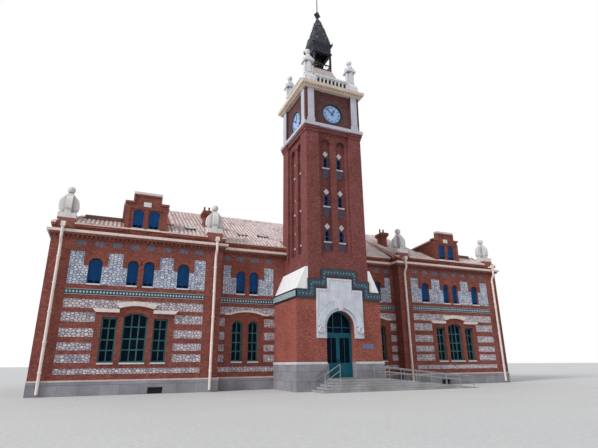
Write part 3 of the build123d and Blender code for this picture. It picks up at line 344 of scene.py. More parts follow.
def dress_wall(side, face, low, high, uppers, grounds, out):
    """Bands, rows and blocks of one wall; uppers and grounds are (left, right, top points, windows)."""
    def brick(left, right, bottom, top):
        brick_outlines.append((side, face, out, rect(left, right, bottom, top)))

    for band in full_bands:
        brick(low, high, *band)
    for left, right in gaps_between(low, high, [g[:2] for g in grounds]):
        for band in part_bands:
            brick(left, right, *band)
        stone_areas.extend((side, face, (left, right, *row)) for row in part_rows)
    stone_areas.extend((side, face, (low, high, *row)) for row in full_rows)
    for blocks, base, foot in ((grounds, WINDOW_FOOT, WINDOW_FOOT), (uppers, BLOCK_FOOT, PANEL_FOOT)):
        for left, right, top, windows in blocks:
            brick_outlines.append((side, face, out + PROUD, comb(left, right, base, top, windows, foot)))
    for left, right in gaps_between(low, high, [u[:2] for u in uppers]):
        stone_areas.append((side, face, (left, right, BLOCK_FOOT, PANEL_HEAD)))
    spans = [(min(w[0] - w[1] / 2 for w in u[3]), max(w[0] + w[1] / 2 for w in u[3])) for u in uppers]
    for left, right in gaps_between(low, high, spans):
        stone_areas.append((side, face, (left, right, PANEL_FOOT, BLOCK_FOOT)))
    count = max(2, round((high - low) / 1.09))
    pitch, half = (high - low) / count, 0.33
    for k in range(count):
        middle = low + pitch * (k + 0.5)
        frieze_panels.append((side, face, 0.02, rect(middle - half, middle + half, 9.25, 9.60)))
        for edge in (low + pitch * k, middle + half):
            brick(edge, edge + pitch / 2 - half, 9.25, 9.60)
    tile_runs.append((side, face, low, high, out))


def block_over(left, right, height, *windows):
    """A flat-topped brick block with its windows."""
    return left, right, [(left, height), (right, height)], list(windows)


upper_size, ground_size = (0.82, 8.20, 8.49), (0.94, 4.68, 4.68)      # width, springing, crown
for sign in (-1, 1):
    axis = sign * AXIS
    uppers = [block_over(u - 0.715, u + 0.715, 8.93, (u, *upper_size)) for u in (axis - 2.83, axis + 2.83)]
    uppers.append(block_over(axis - 1.18, axis + 1.18, 8.93,
                             (axis - 0.515, 0.70, 8.20, 8.49), (axis + 0.515, 0.70, 8.20, 8.49)))
    head = [(axis + u, z) for u, z in [(-2.45, 4.99), (-1.18, 4.99), (-1.18, 5.30)] +
            arc(-1.03, 1.03, 5.30, 5.45)[::-1] + [(1.18, 5.30), (1.18, 4.99), (2.45, 4.99)]]
    lights = [(axis - 1.58, *ground_size), (axis, 1.53, 4.72, 5.03), (axis + 1.58, *ground_size)]
    dress_wall("front", FRONT + 0.06, *handed(sign, *PANEL), uppers,
               [(axis - 2.45, axis + 2.45, head, lights)], 0.06)
    uppers = [block_over(*handed(sign, 4.22, 6.84), 9.10,
                         (sign * 6.06, 0.69, 8.21, 8.50), (sign * 5.025, 0.72, 8.21, 8.50))]
    near, far = handed(sign, 4.18, 7.16)
    middle = sign * 5.515
    lights = [(sign * 6.22, 0.82, 4.48, 4.80), (sign * 4.99, 0.82, 4.48, 4.80)]
    head = [(near, 5.19)] + arc(middle - 1.25, middle + 1.25, 5.19, 5.42)[::-1] + [(far, 5.19)]
    dress_wall("front", RECESS, *handed(sign, 3.33, 7.75), uppers, [(near, far, head, lights)], 0.05)
    for stretch in ((2.44, 3.45), (7.43, 7.75)):
        brick_outlines.append(("front", RECESS, 0.06, rect(*handed(sign, *stretch), 6.72, 9.74)))
END_BAYS, REAR_BAYS = (-2.55, 0.85, 4.25, 7.65), [-16.65 + 3.7 * k for k in range(10)]
for side, face, low, high, bays, ends in (
        ("left", -END, -3.85, 8.75, END_BAYS, (FRONT, REAR)),
        ("right", END, -3.85, 8.75, END_BAYS, (FRONT, REAR)),
        ("rear", REAR, -17.7, 17.7, REAR_BAYS, (-END, END))):
    uppers = [block_over(u - 0.715, u + 0.715, 8.93, (u, *upper_size)) for u in bays]
    grounds = [block_over(u - 0.80, u + 0.80, 4.99, (u, *ground_size)) for u in bays]
    dress_wall(side, face, low, high, uppers, grounds, 0.05)
    for left, right in ((ends[0], low), (high, ends[1])):
        brick_outlines.append((side, face, 0.05, rect(left, right, 0.82, 9.74)))


def new_piece(name, points, faces, finish, body="building", slot=None, outward=True):
    """A piece from its points and faces, with its finish, riding on a body."""
    mesh = bpy.data.meshes.new(name)
    mesh.from_pydata([tuple(p) for p in points], [], faces)
    if outward:
        shell = bmesh.new()
        shell.from_mesh(mesh)
        bmesh.ops.recalc_face_normals(shell, faces=shell.faces)
        shell.to_mesh(mesh)
        shell.free()
    mesh.materials.append(finish)
    piece = stand(name, mesh)
    if body:
        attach(piece, body)
    return piece


def shell_faces(count):
    """Two ends and the sides between them, for an outline given twice."""
    sides = [(k, (k + 1) % count, (k + 1) % count + count, k + count) for k in range(count)]
    return [tuple(range(count)), tuple(range(2 * count - 1, count - 1, -1))] + sides


def slab_of(outline, place, depth):
    """Points and faces of a flat plate: place gives a point for (u, z, out)."""
    return [place(u, z, out) for out in (depth, 0.0) for u, z in outline], shell_faces(len(outline))


def joined(parts):
    """Several sets of points and faces as one."""
    points, faces = [], []
    for more_points, more_faces in parts:
        faces += [tuple(k + len(points) for k in face) for face in more_faces]
        points += more_points
    return points, faces


def wall_slab(side, face, deep, outline, back=0.0):
    """One plate on a wall, from a depth behind its face to how far it stands out."""
    return slab_of(outline, lambda u, z, out: on_wall(side, face, u, z, out - back), deep + back)


def wall_plates(name, outlines, finish, slot, body="building", back=0.0):
    """A piece of plates that lie on the walls."""
    return new_piece(name, *joined([wall_slab(*o, back) for o in outlines]), finish, body, slot)


def soften(piece, wide):
    """A small chamfer on a piece's edges."""
    bevel = piece.modifiers.new("edges", "BEVEL")
    bevel.width, bevel.segments, bevel.limit_method = wide, 1, "ANGLE"


for name, side in (("front", "front"), ("left_end", "left"), ("right_end", "right"), ("rear", "rear")):
    wall_plates(f"{name}_brick_bands", [b for b in brick_outlines if b[0] == side], house_brick, "brick")
# The frieze panels are dark stone, darkened further to paint the shadow that the cornice casts on them.
wall_plates("frieze_panels", frieze_panels,
            worn_finish("frieze_stone_and_cornice_shade", (140, 136, 148), (86, 82, 94), 0.85, 7.0, 40.0, 0.01), "pale_stone")


# Plinth course
# Pale dressed stone, laid flat in mortar, caps the granite all round the building
# and stands a little out over it.
def plan_slab(left, right, near, far, foot, thick):
    """A level slab over a rectangle of the plan."""
    return slab_of(rect(left, right, near, far), lambda u, v, out: (u, v, foot + out), thick)


course = []
for near, far, low, high in (
        (7.675, 18.975, -5.125, -5.03), (7.675, 7.77, -5.03, -4.09), (3.33, 7.675, -4.185, -4.09),
        (18.88, 18.975, -5.03, 10.025), (0.0, 18.88, 9.93, 10.025)):
    course += [plan_slab(*handed(sign, near, far), low, high, 0.80, 0.10) for sign in (-1, 1)]
new_piece("plinth_course", *joined(course), worn_finish("plinth_course", (226, 208, 204), (198, 182, 180), 0.8),
          slot="pale_stone")


# Cellar grilles
# Upright iron bars close the two cellar openings in the granite, let into the stone,
# with a dark plate behind them that paints the shade inside the openings.
grilles = []
for middle in (-11.735, 11.735):
    # A dark plate fills each opening behind the bars: painted shade for the dark inside.
    grilles.append(("front", -4.85, 0.03, rect(middle - 0.46, middle + 0.46, 0.01, 0.39)))
    for x in [middle - 0.4 + 0.1 * k for k in range(9)]:
        grilles.append(("front", -4.95, 0.02, rect(x - 0.01, x + 0.01, 0.01, 0.39)))
wall_plates("cellar_grilles", grilles, worn_finish("cellar_iron_and_painted_shade", (34, 34, 40), (20, 20, 26), 0.6), "black_iron")


# Rubble rows and panels
# Split grey and lilac stone set in lime mortar, in rows between the brick bands and in one tall panel
# on the upper storey. Each stone is a separate face of its own shape that stands a little out of the joint.
def new_tree(name, result, inputs):
    """An empty Geometry Nodes tree, and the sockets of its named inputs."""
    tree = bpy.data.node_groups.new(name, "GeometryNodeTree")
    for word, kind in inputs.items():
        tree.interface.new_socket(word, in_out="INPUT", socket_type="NodeSocket" + kind)
    tree.interface.new_socket(result, in_out="OUTPUT", socket_type="NodeSocketGeometry")
    return tree, part_of(tree, "NodeGroupInput").outputs


def dice(tree, seed, low, high):
    """A random number for each stone or unit."""
    return part_of(tree, "FunctionNodeRandomValue", {2: low, 3: high, "Seed": seed}, data_type="FLOAT").outputs[1]


def tinted(tree, geometry, seed, domain):
    """Keep a random tint from 0 to 1 on each stone or unit."""
    return part_of(tree, "GeometryNodeStoreNamedAttribute",
                   {0: geometry, "Name": "tint", "Value": dice(tree, seed, 0.0, 1.0)},
                   data_type="FLOAT", domain=domain)


def end_tree(tree, geometry, finish):
    """Make everything real, set its finish and hand it out."""
    real = part_of(tree, "GeometryNodeRealizeInstances", {0: geometry})
    part_of(tree, "NodeGroupOutput", {0: part_of(tree, "GeometryNodeSetMaterial", {0: real, 2: finish})})
    return tree


def rubble_tree():
    """Geometry Nodes tree that breaks flat quads into separate stones."""
    tree, given = new_tree("rubble", "Stones", {
        "Cells": "Geometry", "Shift": "Float", "Joint share": "Float", "Stand out": "Float", "Top share": "Float",
        "Seed": "Int", "Finish": "Material"})
    rim = part_of(tree, "FunctionNodeCompare", {2: part_of(tree, "GeometryNodeInputMeshEdgeNeighbors"), 3: 1},
                  data_type="INT", operation="EQUAL")
    rim_point = part_of(tree, "GeometryNodeFieldOnDomain", {0: rim}, data_type="BOOLEAN", domain="EDGE")
    free = part_of(tree, "FunctionNodeBooleanMath", {0: rim_point}, operation="NOT")
    throw = part_of(tree, "FunctionNodeRandomValue", {0: (-1, -1, -1), 1: (1, 1, 1), "Seed": given["Seed"]},
                    data_type="FLOAT_VECTOR")
    lift = part_of(tree, "ShaderNodeVectorMath", {0: throw, 1: part_of(tree, "GeometryNodeInputNormal")},
                   operation="PROJECT")
    in_plane = part_of(tree, "ShaderNodeVectorMath", {0: throw, 1: lift}, operation="SUBTRACT")
    move = part_of(tree, "ShaderNodeVectorMath", {0: in_plane, "Scale": given["Shift"]}, operation="SCALE")
    moved = part_of(tree, "GeometryNodeSetPosition", {0: given["Cells"], 1: free, 3: move})
    cut = part_of(tree, "GeometryNodeTriangulate", {0: moved})
    cells = part_of(tree, "GeometryNodeDualMesh", {0: cut, 1: True})
    marked = tinted(tree, part_of(tree, "GeometryNodeSplitEdges", {0: cells}), given["Seed"], "FACE")
    shrunk = part_of(tree, "GeometryNodeScaleElements", {0: marked, "Scale": given["Joint share"]}, domain="FACE")
    height = sum_of(tree, "MULTIPLY", dice(tree, given["Seed"], 0.65, 1.0), given["Stand out"])
    raised = part_of(tree, "GeometryNodeExtrudeMesh", {0: shrunk, "Offset Scale": height, "Individual": True},
                     mode="FACES")
    dressed = part_of(tree, "GeometryNodeScaleElements",
                      {0: raised, 1: raised.outputs["Top"], "Scale": given["Top share"]}, domain="FACE")
    both = part_of(tree, "GeometryNodeJoinGeometry", {0: part_of(tree, "GeometryNodeFlipFaces", {0: shrunk})})
    tree.links.new(dressed.outputs[0], both.inputs[0])
    closed = part_of(tree, "GeometryNodeMergeByDistance", {0: both, "Distance": 0.0005})
    return end_tree(tree, closed, given["Finish"])


def run_tree(name, base, tree, values):
    """Run a Geometry Nodes tree over a base mesh and keep the plain mesh that it makes."""
    holder = stand(name + "_base", base)
    modifier = holder.modifiers.new("tree", "NODES")
    modifier.node_group = tree
    for item in tree.interface.items_tree:
        if item.item_type == "SOCKET" and item.in_out == "INPUT" and item.name in values:
            modifier[item.identifier] = values[item.name]
    graph = bpy.context.evaluated_depsgraph_get()
    mesh = bpy.data.meshes.new_from_object(holder.evaluated_get(graph), preserve_all_data_layers=True,
                                           depsgraph=graph)
    bpy.data.objects.remove(holder)
    mesh.name = name
    piece = stand(name, mesh)
    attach(piece, "building")


def cell_steps(edges, size):
    """Grid lines through all the given edges, no further apart than a stone's size."""
    lines = []
    edges = sorted(set(round(e, 4) for e in edges))
    for low, high in zip(edges, edges[1:]):
        count = max(1, round((high - low) / size))
        lines += [low + (high - low) * k / count for k in range(count)]
    return lines + [edges[-1]]


def stone_cells(side, face, areas, wide, high, out):
    """Flat quads over the rectangles of one wall, that meet where the rectangles meet."""
    columns = cell_steps([a[0] for a in areas] + [a[1] for a in areas], wide)
    levels = cell_steps([a[2] for a in areas] + [a[3] for a in areas], high)
    points, faces, at = [], [], {}

    def corner(i, j):
        if (i, j) not in at:
            at[i, j] = len(points)
            points.append(on_wall(side, face, columns[i], levels[j], out))
        return at[i, j]

    for i in range(len(columns) - 1):
        for j in range(len(levels) - 1):
            u, z = (columns[i] + columns[i + 1]) / 2, (levels[j] + levels[j + 1]) / 2
            if any(a[0] < u < a[1] and a[2] < z < a[3] for a in areas):
                quad = (corner(i, j), corner(i + 1, j), corner(i + 1, j + 1), corner(i, j + 1))
                faces.append(quad if side in ("front", "right") else quad[::-1])
    return points, faces


def tint_card(tree, tones):
    """A colour from a card of tones, picked by each unit's own tint."""
    card = part_of(tree, "ShaderNodeValToRGB",
                   {0: part_of(tree, "ShaderNodeAttribute", attribute_name="tint").outputs["Fac"]})
    while len(card.color_ramp.elements) < len(tones):
        card.color_ramp.elements.new(0.5)
    for element, (spot, tone) in zip(card.color_ramp.elements, tones):
        element.position, element.color = spot, shade(*tone)
    return card.outputs[0]


def rubble_finish():
    """Split stone: each one has its own tint, with a speckle and a rough face; the lower rows are warmer."""
    finish, tree, shader = new_finish("rubble_stone", 0.85, gloss=0.3)
    card = tint_card(tree, [(0.0, (176, 178, 198)), (0.25, (228, 230, 242)), (0.5, (252, 252, 255)),
                            (0.7, (196, 200, 218)), (0.85, (236, 228, 230)), (1.0, (255, 254, 255))])
    speck = cloud(tree, 28.0, 4.0, 0.8)
    place = part_of(tree, "ShaderNodeSeparateXYZ", {0: own_place(tree)})
    upper = sum_of(tree, "GREATER_THAN", place.outputs[2], 6.0)
    cast = blend_of(tree, upper, shade(255, 243, 238), shade(242, 249, 255))
    colour = blend_of(tree, speck, dulled(tree, card, 212, 212, 220), card)
    coat(tree, shader, blend_of(tree, 1.0, colour, cast, "MULTIPLY"), speck, 0.012)
    return finish


rubble = rubble_tree()
stone_values = {"Shift": 0.06, "Joint share": 0.87, "Stand out": 0.035, "Top share": 0.84,
                "Finish": rubble_finish()}
joint_mortar = worn_finish("rubble_mortar", (90, 83, 92), (66, 61, 72), 0.95, 2.0, 80.0)
BED, FIRST_SEED = 0.012, 7
for seed, (name, side, face) in enumerate((
        ("front_pavilions", "front", FRONT + 0.06), ("front_recesses", "front", RECESS),
        ("left_end", "left", -END), ("right_end", "right", END), ("rear", "rear", REAR))):
    areas = [a[2] for a in stone_areas if a[0] == side and abs(a[1] - face) < 0.001]
    wall_plates(f"{name}_stone_bed", [(side, face, BED, rect(*a)) for a in areas], joint_mortar, "pale_stone")
    base = bpy.data.meshes.new(name)
    cells, quads = stone_cells(side, face, areas, 0.21, 0.16, BED)
    base.from_pydata(cells, [], quads)
    run_tree(f"{name}_stones", base, rubble, {**stone_values, "Seed": FIRST_SEED + seed})


# Glazed tile band
# A course of blue glazed tiles runs round the building at the upper floor, with a row of white glazed
# lozenges set on it and a thin white fillet above and below.
BOX_FACES = [(3, 2, 1, 0), (4, 5, 6, 7), (0, 1, 5, 4), (1, 2, 6, 5), (2, 3, 7, 6), (3, 0, 4, 7)]
wall_turn = {"front": 0.0, "right": math.pi / 2, "rear": math.pi, "left": -math.pi / 2}


def unit_tree():
    """Geometry Nodes tree that sets one unit at every seat, turned and sized by the seat."""
    tree, given = new_tree("set_out", "Set out", {
        "Seats": "Geometry", "Unit": "Object", "Unit size": "Float", "Seed": "Int", "Finish": "Material"})
    unit = part_of(tree, "GeometryNodeObjectInfo", {"Object": given["Unit"]}, transform_space="ORIGINAL")
    turn = part_of(tree, "GeometryNodeInputNamedAttribute", {"Name": "turn"}, data_type="FLOAT_VECTOR")
    grow = part_of(tree, "GeometryNodeInputNamedAttribute", {"Name": "grow"}, data_type="FLOAT_VECTOR")
    size = part_of(tree, "ShaderNodeVectorMath", {0: grow, "Scale": given["Unit size"]}, operation="SCALE")
    placed = part_of(tree, "GeometryNodeInstanceOnPoints",
                     {"Points": given["Seats"], "Instance": unit.outputs["Geometry"],
                      "Rotation": part_of(tree, "FunctionNodeEulerToRotation", {0: turn}), "Scale": size})
    return end_tree(tree, tinted(tree, placed, given["Seed"], "INSTANCE"), given["Finish"])


set_out = unit_tree()


def set_units(name, unit, seats, finish, seed):
    """Set a unit's points and faces at each seat, given as place, turn and size."""
    model = new_piece(name + "_unit", *unit, finish, body=None)
    base = bpy.data.meshes.new(name)
    base.from_pydata([s[0] for s in seats], [], [])
    for word, k in (("turn", 1), ("grow", 2)):
        values = base.attributes.new(word, "FLOAT_VECTOR", "POINT")
        values.data.foreach_set("vector", [c for s in seats for c in s[k]])
    run_tree(name, base, set_out, {"Unit": model, "Unit size": 1.0, "Seed": seed, "Finish": finish})
    bpy.data.objects.remove(model)


def seat(side, face, u, z, out, grow=(1, 1, 1), tip=0.0, roll=0.0):
    """A unit's place on a wall, its turn and its size."""
    return on_wall(side, face, u, z, out), (tip, roll, wall_turn[side]), grow


def spaced(low, high, count):
    """The middles of equal parts of a stretch."""
    return [low + (high - low) * (k + 0.5) / count for k in range(count)]


def box_unit(x, y, z, chamfer=0.0):
    """A block on its seat: x wide, y deep towards -Y, z high about the middle, front edges chamfered."""
    def ring(at, c=0.0):
        return [(-x / 2 + c, at, -z / 2 + c), (x / 2 - c, at, -z / 2 + c),
                (x / 2 - c, at, z / 2 - c), (-x / 2 + c, at, z / 2 - c)]

    if not chamfer:
        return ring(0) + ring(-y), BOX_FACES
    sides = [(k + n, (k + 1) % 4 + n, (k + 1) % 4 + 4 + n, k + 4 + n) for n in (0, 4) for k in range(4)]
    return ring(0) + ring(-y + chamfer) + ring(-y, chamfer), [(3, 2, 1, 0), (8, 9, 10, 11)] + sides


def glazed_finish(name, first, second, tile):
    """Glazed tiles that change a little from one to the next, with fine joints."""
    finish, tree, shader = new_finish(name, 0.22, gloss=0.5)
    tiles, joints = laid(tree, first, second, [c * 0.55 for c in second], tile, tile, offset=0.0)
    colour = blend_of(tree, cloud(tree, 6.0), tiles, dulled(tree, tiles, 210, 214, 218))
    coat(tree, shader, colour, set_back(tree, joints), 0.004)
    return finish


blue_glaze = glazed_finish("blue_glaze", (48, 88, 102), (32, 62, 78), 0.12)
white_glaze = worn_finish("white_glaze", (206, 214, 218), (182, 194, 202), 0.25, 6.0, 30.0, 0.001)
bands, fillets, lozenges = [], [], []
for side, face, low, high, out in tile_runs:
    bands.append((side, face, out + 0.01, rect(low, high, 6.08, 6.40)))
    fillets += [(side, face, out + 0.03, rect(low, high, z, z + 0.022)) for z in (6.065, 6.395)]
    lozenges += [seat(side, face, u, 6.24, out + 0.008, (0.66, 1, 0.66))
                 for u in spaced(low, high, round((high - low) / 0.2))]
wall_plates("glazed_band", bands, blue_glaze, "teal_timber")
wall_plates("glazed_band_fillets", fillets, white_glaze, "white_stone")
lozenge = ([(-0.11, 0, 0), (0, 0, -0.13), (0.11, 0, 0), (0, 0, 0.13), (-0.085, -0.02, 0), (0, -0.02, -0.1),
            (0.085, -0.02, 0), (0, -0.02, 0.1)], BOX_FACES)
set_units("glazed_lozenges", lozenge, lozenges, white_glaze, 1)


# Corbel course and cornice
# Brick dentils, one brick wide, carry the cream cornice that hides the gutter all round the building.
# The window hoods are of the same cream plaster, and the sills are white stone.
dentils = []
for side, face, low, high in (
        ("front", FRONT, -18.9, -7.75), ("front", FRONT, 7.75, 18.9), ("front", RECESS, -7.72, -2.5),
        ("front", RECESS, 2.5, 7.72), ("left", -END, FRONT, REAR), ("right", END, FRONT, REAR),
        ("rear", REAR, -18.9, 18.9)):
    dentils += [seat(side, face, u, 9.815, 0.0) for u in spaced(low, high, round((high - low) / 0.27))]
set_units("cornice_dentils", box_unit(0.13, 0.15, 0.17, 0.012), dentils, house_brick, 3)
dress_node(worn_finish("cream_plaster", (242, 230, 224), (226, 212, 206), 0.7), "window_hoods")
dress_node(brick_below(worn_finish("cornice_plaster", (242, 228, 220), (226, 208, 198), 0.7), 10.03),
           "main_cornice")
white_stone = worn_finish("white_stone", (226, 226, 228), (206, 205, 210), 0.65)
dress_node(white_stone, "window_sills")


# Window head bricks
# Bricks on edge, set in mortar, turn over each arched window of both storeys
# and stand a finger's width proud of the wall.
arched = [("front", FRONT + 0.06, sign * AXIS + x, wide, 8.20, 8.49, 0.072)
          for sign in (-1, 1) for x, wide in ((-2.83, 0.82), (-0.515, 0.7), (0.515, 0.7), (2.83, 0.82))]
arched += [("front", RECESS, sign * x, wide, 8.21, 8.50, 0.062)
           for sign in (-1, 1) for x, wide in ((6.06, 0.69), (5.025, 0.72))]
for side, face, bays in (("left", -END, END_BAYS), ("right", END, END_BAYS), ("rear", REAR, REAR_BAYS)):
    arched += [(side, face, u, *upper_size, 0.062) for u in bays]
arched += [("front", RECESS, sign * x, 0.82, 4.48, 4.80, 0.062) for sign in (-1, 1) for x in (6.22, 4.99)]
arched += [("front", FRONT + 0.06, sign * AXIS, 1.53, 4.72, 5.03, 0.072) for sign in (-1, 1)]
heads = []
for side, face, middle, wide, spring, crown, out in arched:
    half, rise = wide / 2, crown - spring
    radius = (half * half + rise * rise) / (2 * rise)
    reach = math.asin(half / radius)
    brick_line = radius + 0.125
    for a in spaced(-reach, reach, round(2 * reach * (radius + 0.12) / 0.085)):
        u, z = middle + brick_line * math.sin(a), crown - radius + brick_line * math.cos(a)
        heads.append(seat(side, face, u, z, out - 0.01, roll=a if side in ("front", "right") else -a))
arch_brick = brickwork("arch_brick", (184, 104, 82), (160, 84, 66), (150, 120, 106))
set_units("window_head_bricks", box_unit(0.072, 0.03, 0.235, 0.006), heads, arch_brick, 4)


# Windows
# Timber frames: green below and deep blue above, with dark panes. Blue slatted blinds fill
# the upper lights down to a hand's width above the sill.
def paint_finish(name, pale, deep, roughness=0.5):
    """Brushed paint with little shine."""
    return worn_finish(name, pale, deep, roughness, 3.0, 120.0, 0.0015, gloss=0.25)


blue_paint = paint_finish("blue_paint", (16, 94, 158), (8, 72, 130))
dress_node(paint_finish("green_paint", (72, 122, 122), (50, 98, 102)), "ground_window_frames")
dress_node(blue_paint, "upper_window_frames")
pane, pane_tree, pane_shader = new_finish("dark_glass", 0.12, gloss=0.03)
coat(pane_tree, pane_shader, blend_of(pane_tree, cloud(pane_tree, 1.2), shade(12, 30, 48), shade(4, 16, 30)))
dress_node(pane, "ground_window_glass", "upper_window_glass")
BLIND_TILT = 0.5
slats = []
for side, face, middle, wide, spring, crown, out in arched:
    if spring > 6:                      # upper storey only
        for z in spaced(7.02, crown - 0.1, 28):
            rise = max(0.0, (z - spring) / (crown - spring))
            long = (wide - 0.16) * math.sqrt(max(0.05, 1 - rise * rise))
            slats.append(seat(side, face, middle, z, -0.182, (long, 1, 1), BLIND_TILT))
slats += [seat("front", FRONT, sign * AXIS + x, z, -0.122, (0.56, 1, 1), BLIND_TILT)
          for sign in (-1, 1) for x in (-0.53, 0.53) for z in spaced(11.05, 12.08, 24)]
set_units("blue_blinds", box_unit(1.0, 0.012, 0.05), slats, blue_paint, 5)


# Roofs
# Half-round clay tiles lie in columns on channel tiles, larger ones cover the ridge and hips, and pale
# mortar closes the eaves. The flat tops are seamed sheet metal with a low kerb round them, and four
# small roof lights lie in the front slopes.
EAVE, PITCH, ROW = 10.65, 0.28, 0.38                     # eave height, tile column, tile course
NORTH_SLOPE, RECESS_SLOPE = 4.2 / 7.65, 4.2 / 6.71
FRONT_EAVE, RECESS_EAVE, REAR_EAVE, END_EAVE = -5.2, -4.26, 10.1, 19.05
GABLE, SKIRT_RUN, DECK = 11.2, 2.004, 11.75              # end of the high roof, low roof's run, flat top
X, Y = Vector((1, 0, 0)), Vector((0, 1, 0))


def clay_finish(name, tones, course):
    """Clay tile: each has its own tint from the kiln; the darker channel tiles below also paint the shade between
    the cover tiles.
    """
    finish, tree, shader = new_finish(name, 0.8, gloss=0.3)
    card = tint_card(tree, [(k / (len(tones) - 1), tone) for k, tone in enumerate(tones)])
    colour = blend_of(tree, cloud(tree, 9.0, 3.0), card, dulled(tree, card, 214, 204, 198))
    colour = blend_of(tree, cloud(tree, 0.5, 4.0), colour, blend_of(tree, 0.5, colour, shade(*course)))
    coat(tree, shader, colour, cloud(tree, 40.0), 0.004)
    return finish


def cover_tile(mouth=0.106, tail=0.082, long=0.43, rise=0.75, sides=5):
    """Half-round cover tile: mouth at the origin, tail up the slope."""
    points = []
    for y, r, lift in ((0.0, mouth, 0.032), (long, tail, 0.0)):
        angles = [math.pi * k / sides for k in range(sides + 1)]
        points += [(r * math.cos(a), y, lift + rise * r * math.sin(a)) for a in angles]
        points += [(-r, y, -0.03), (r, y, -0.03)]
    return points, shell_faces(sides + 3)


def tile_slope(start, along, inward, length, run, rise, keep):
    """Seats of the tiles of one slope: start is its eave corner, along and inward are level directions."""
    tilt, yaw = math.atan(rise), math.atan2(-inward.x, inward.y)
    seats = []
    for step in spaced(0.0, length, int(length / PITCH)):
        for j in range(int(run / math.cos(tilt) / ROW + 0.6)):
            level_run = (j * ROW - 0.04) * math.cos(tilt)
            spot = start + along * step + inward * level_run
            spot.z = EAVE + level_run * rise + 0.012
            if keep(spot) and level_run < run - 0.12:
                seats.append((tuple(spot), (tilt, 0, yaw), (1, 1, 1)))
    return seats


def clear_of_stacks(spot):
    """Tiles stop at the tower, the chimneys, the pinnacles, the dormers and the kerb."""
    x, y = abs(spot.x), spot.y
    tower = x < 2.6 and y < -3.3
    stack = abs(x - 8.5) < 0.36 and -2.62 < y < -1.37
    pinnacle = y < -3.93 and (abs(x - 8.4) < 0.66 or abs(x - 18.25) < 0.66)
    dormer = abs(x - AXIS) < 1.5 and y < -1.5
    kerb = 14.6 < x < 17.3 and -4.05 < y < -3.0
    return not (tower or stack or pinnacle or dormer or kerb)


def from_end(spot):
    """How far a tile lies in from the end eave, with a hand's width to spare."""
    return END_EAVE - abs(spot.x) + 0.1


clay = clay_finish("clay_tile", [(230, 212, 212), (246, 236, 236), (252, 246, 246), (208, 184, 182),
                                 (244, 234, 234)], (238, 230, 232))
# The roofs under the tiles are a darker clay, which also paints the shade that falls between the cover tiles.
dress_node(brick_below(clay_finish("channel_clay_with_painted_shade", [(206, 174, 168), (192, 160, 154)], (184, 152, 146)), 10.64),
           "main_roof", "pavilion_roofs", "dormer_roofs")
tiles = tile_slope(-7.6 * X + RECESS_EAVE * Y, X, Y, 15.2, 6.71, RECESS_SLOPE, clear_of_stacks)
tiles += tile_slope(-GABLE * X + REAR_EAVE * Y, X, -Y, 22.4, 7.65, NORTH_SLOPE, lambda s: True)
for sign in (-1, 1):
    outer = sign * X
    front_hip, rear_hip = GABLE * outer + FRONT_EAVE * Y, GABLE * outer + REAR_EAVE * Y
    tiles += tile_slope(7.6 * outer + FRONT_EAVE * Y, outer, Y, 3.6, 7.65, NORTH_SLOPE, clear_of_stacks)
    tiles += tile_slope(front_hip, outer, Y, 7.85, SKIRT_RUN, NORTH_SLOPE,
                        lambda s: clear_of_stacks(s) and from_end(s) > s.y - FRONT_EAVE)
    tiles += tile_slope(rear_hip, outer, -Y, 7.85, SKIRT_RUN, NORTH_SLOPE,
                        lambda s: from_end(s) > REAR_EAVE - s.y)
    tiles += tile_slope(END_EAVE * outer + FRONT_EAVE * Y, Y, -outer, 15.3, SKIRT_RUN, NORTH_SLOPE,
                        lambda s: (clear_of_stacks(s) and
                                   min(s.y - FRONT_EAVE, REAR_EAVE - s.y) > from_end(s) - 0.2))
set_units("roof_tiles", cover_tile(), tiles, clay, 6)

eave_beds = [("left", -END_EAVE, FRONT_EAVE, REAR_EAVE), ("right", END_EAVE, FRONT_EAVE, REAR_EAVE),
             ("rear", REAR_EAVE, -END_EAVE, END_EAVE)]
for face, near, far in ((FRONT_EAVE, 18.8, END_EAVE), (FRONT_EAVE, 8.95, 17.7), (FRONT_EAVE, 7.6, 7.85),
                        (RECESS_EAVE, 2.44, 7.6)):
    eave_beds += [("front", face, *handed(sign, near, far)) for sign in (-1, 1)]
wall_plates("eave_mortar",
            [(side, face, 0.035, rect(low, high, 10.61, 10.70)) for side, face, low, high in eave_beds],
            worn_finish("eave_mortar", (252, 232, 218), (240, 212, 196), 0.8), "cream_stone")

ridge = [((-GABLE + 0.4 * k, 2.45, 14.80), (0.04, 0, -math.pi / 2), (1.4, 0.98, 1.1)) for k in range(56)]
verge_tilt, hip_tilt = math.atan(NORTH_SLOPE), math.atan(NORTH_SLOPE / math.sqrt(2))
for sign in (-1, 1):
    for k in range(22):
        for eave, way in ((FRONT_EAVE, 1), (REAR_EAVE, -1)):
            run = 0.36 * k * math.cos(verge_tilt)
            ridge.append(((sign * 11.12, eave + way * run, EAVE + run * NORTH_SLOPE + 0.02),
                          (verge_tilt, 0, 0 if way > 0 else math.pi), (1.15, 1, 1)))
    for eave, way in ((FRONT_EAVE, 1), (REAR_EAVE, -1)):
        for k in range(8):
            run = 0.36 * k / math.sqrt(2)
            ridge.append(((sign * (19.0 - run), eave + way * (run + 0.05), EAVE + run * NORTH_SLOPE + 0.02),
                          (hip_tilt, 0, math.atan2(sign, way)), (1.1, 1, 0.8)))
set_units("ridge_and_hip_tiles", cover_tile(), ridge, clay, 7)

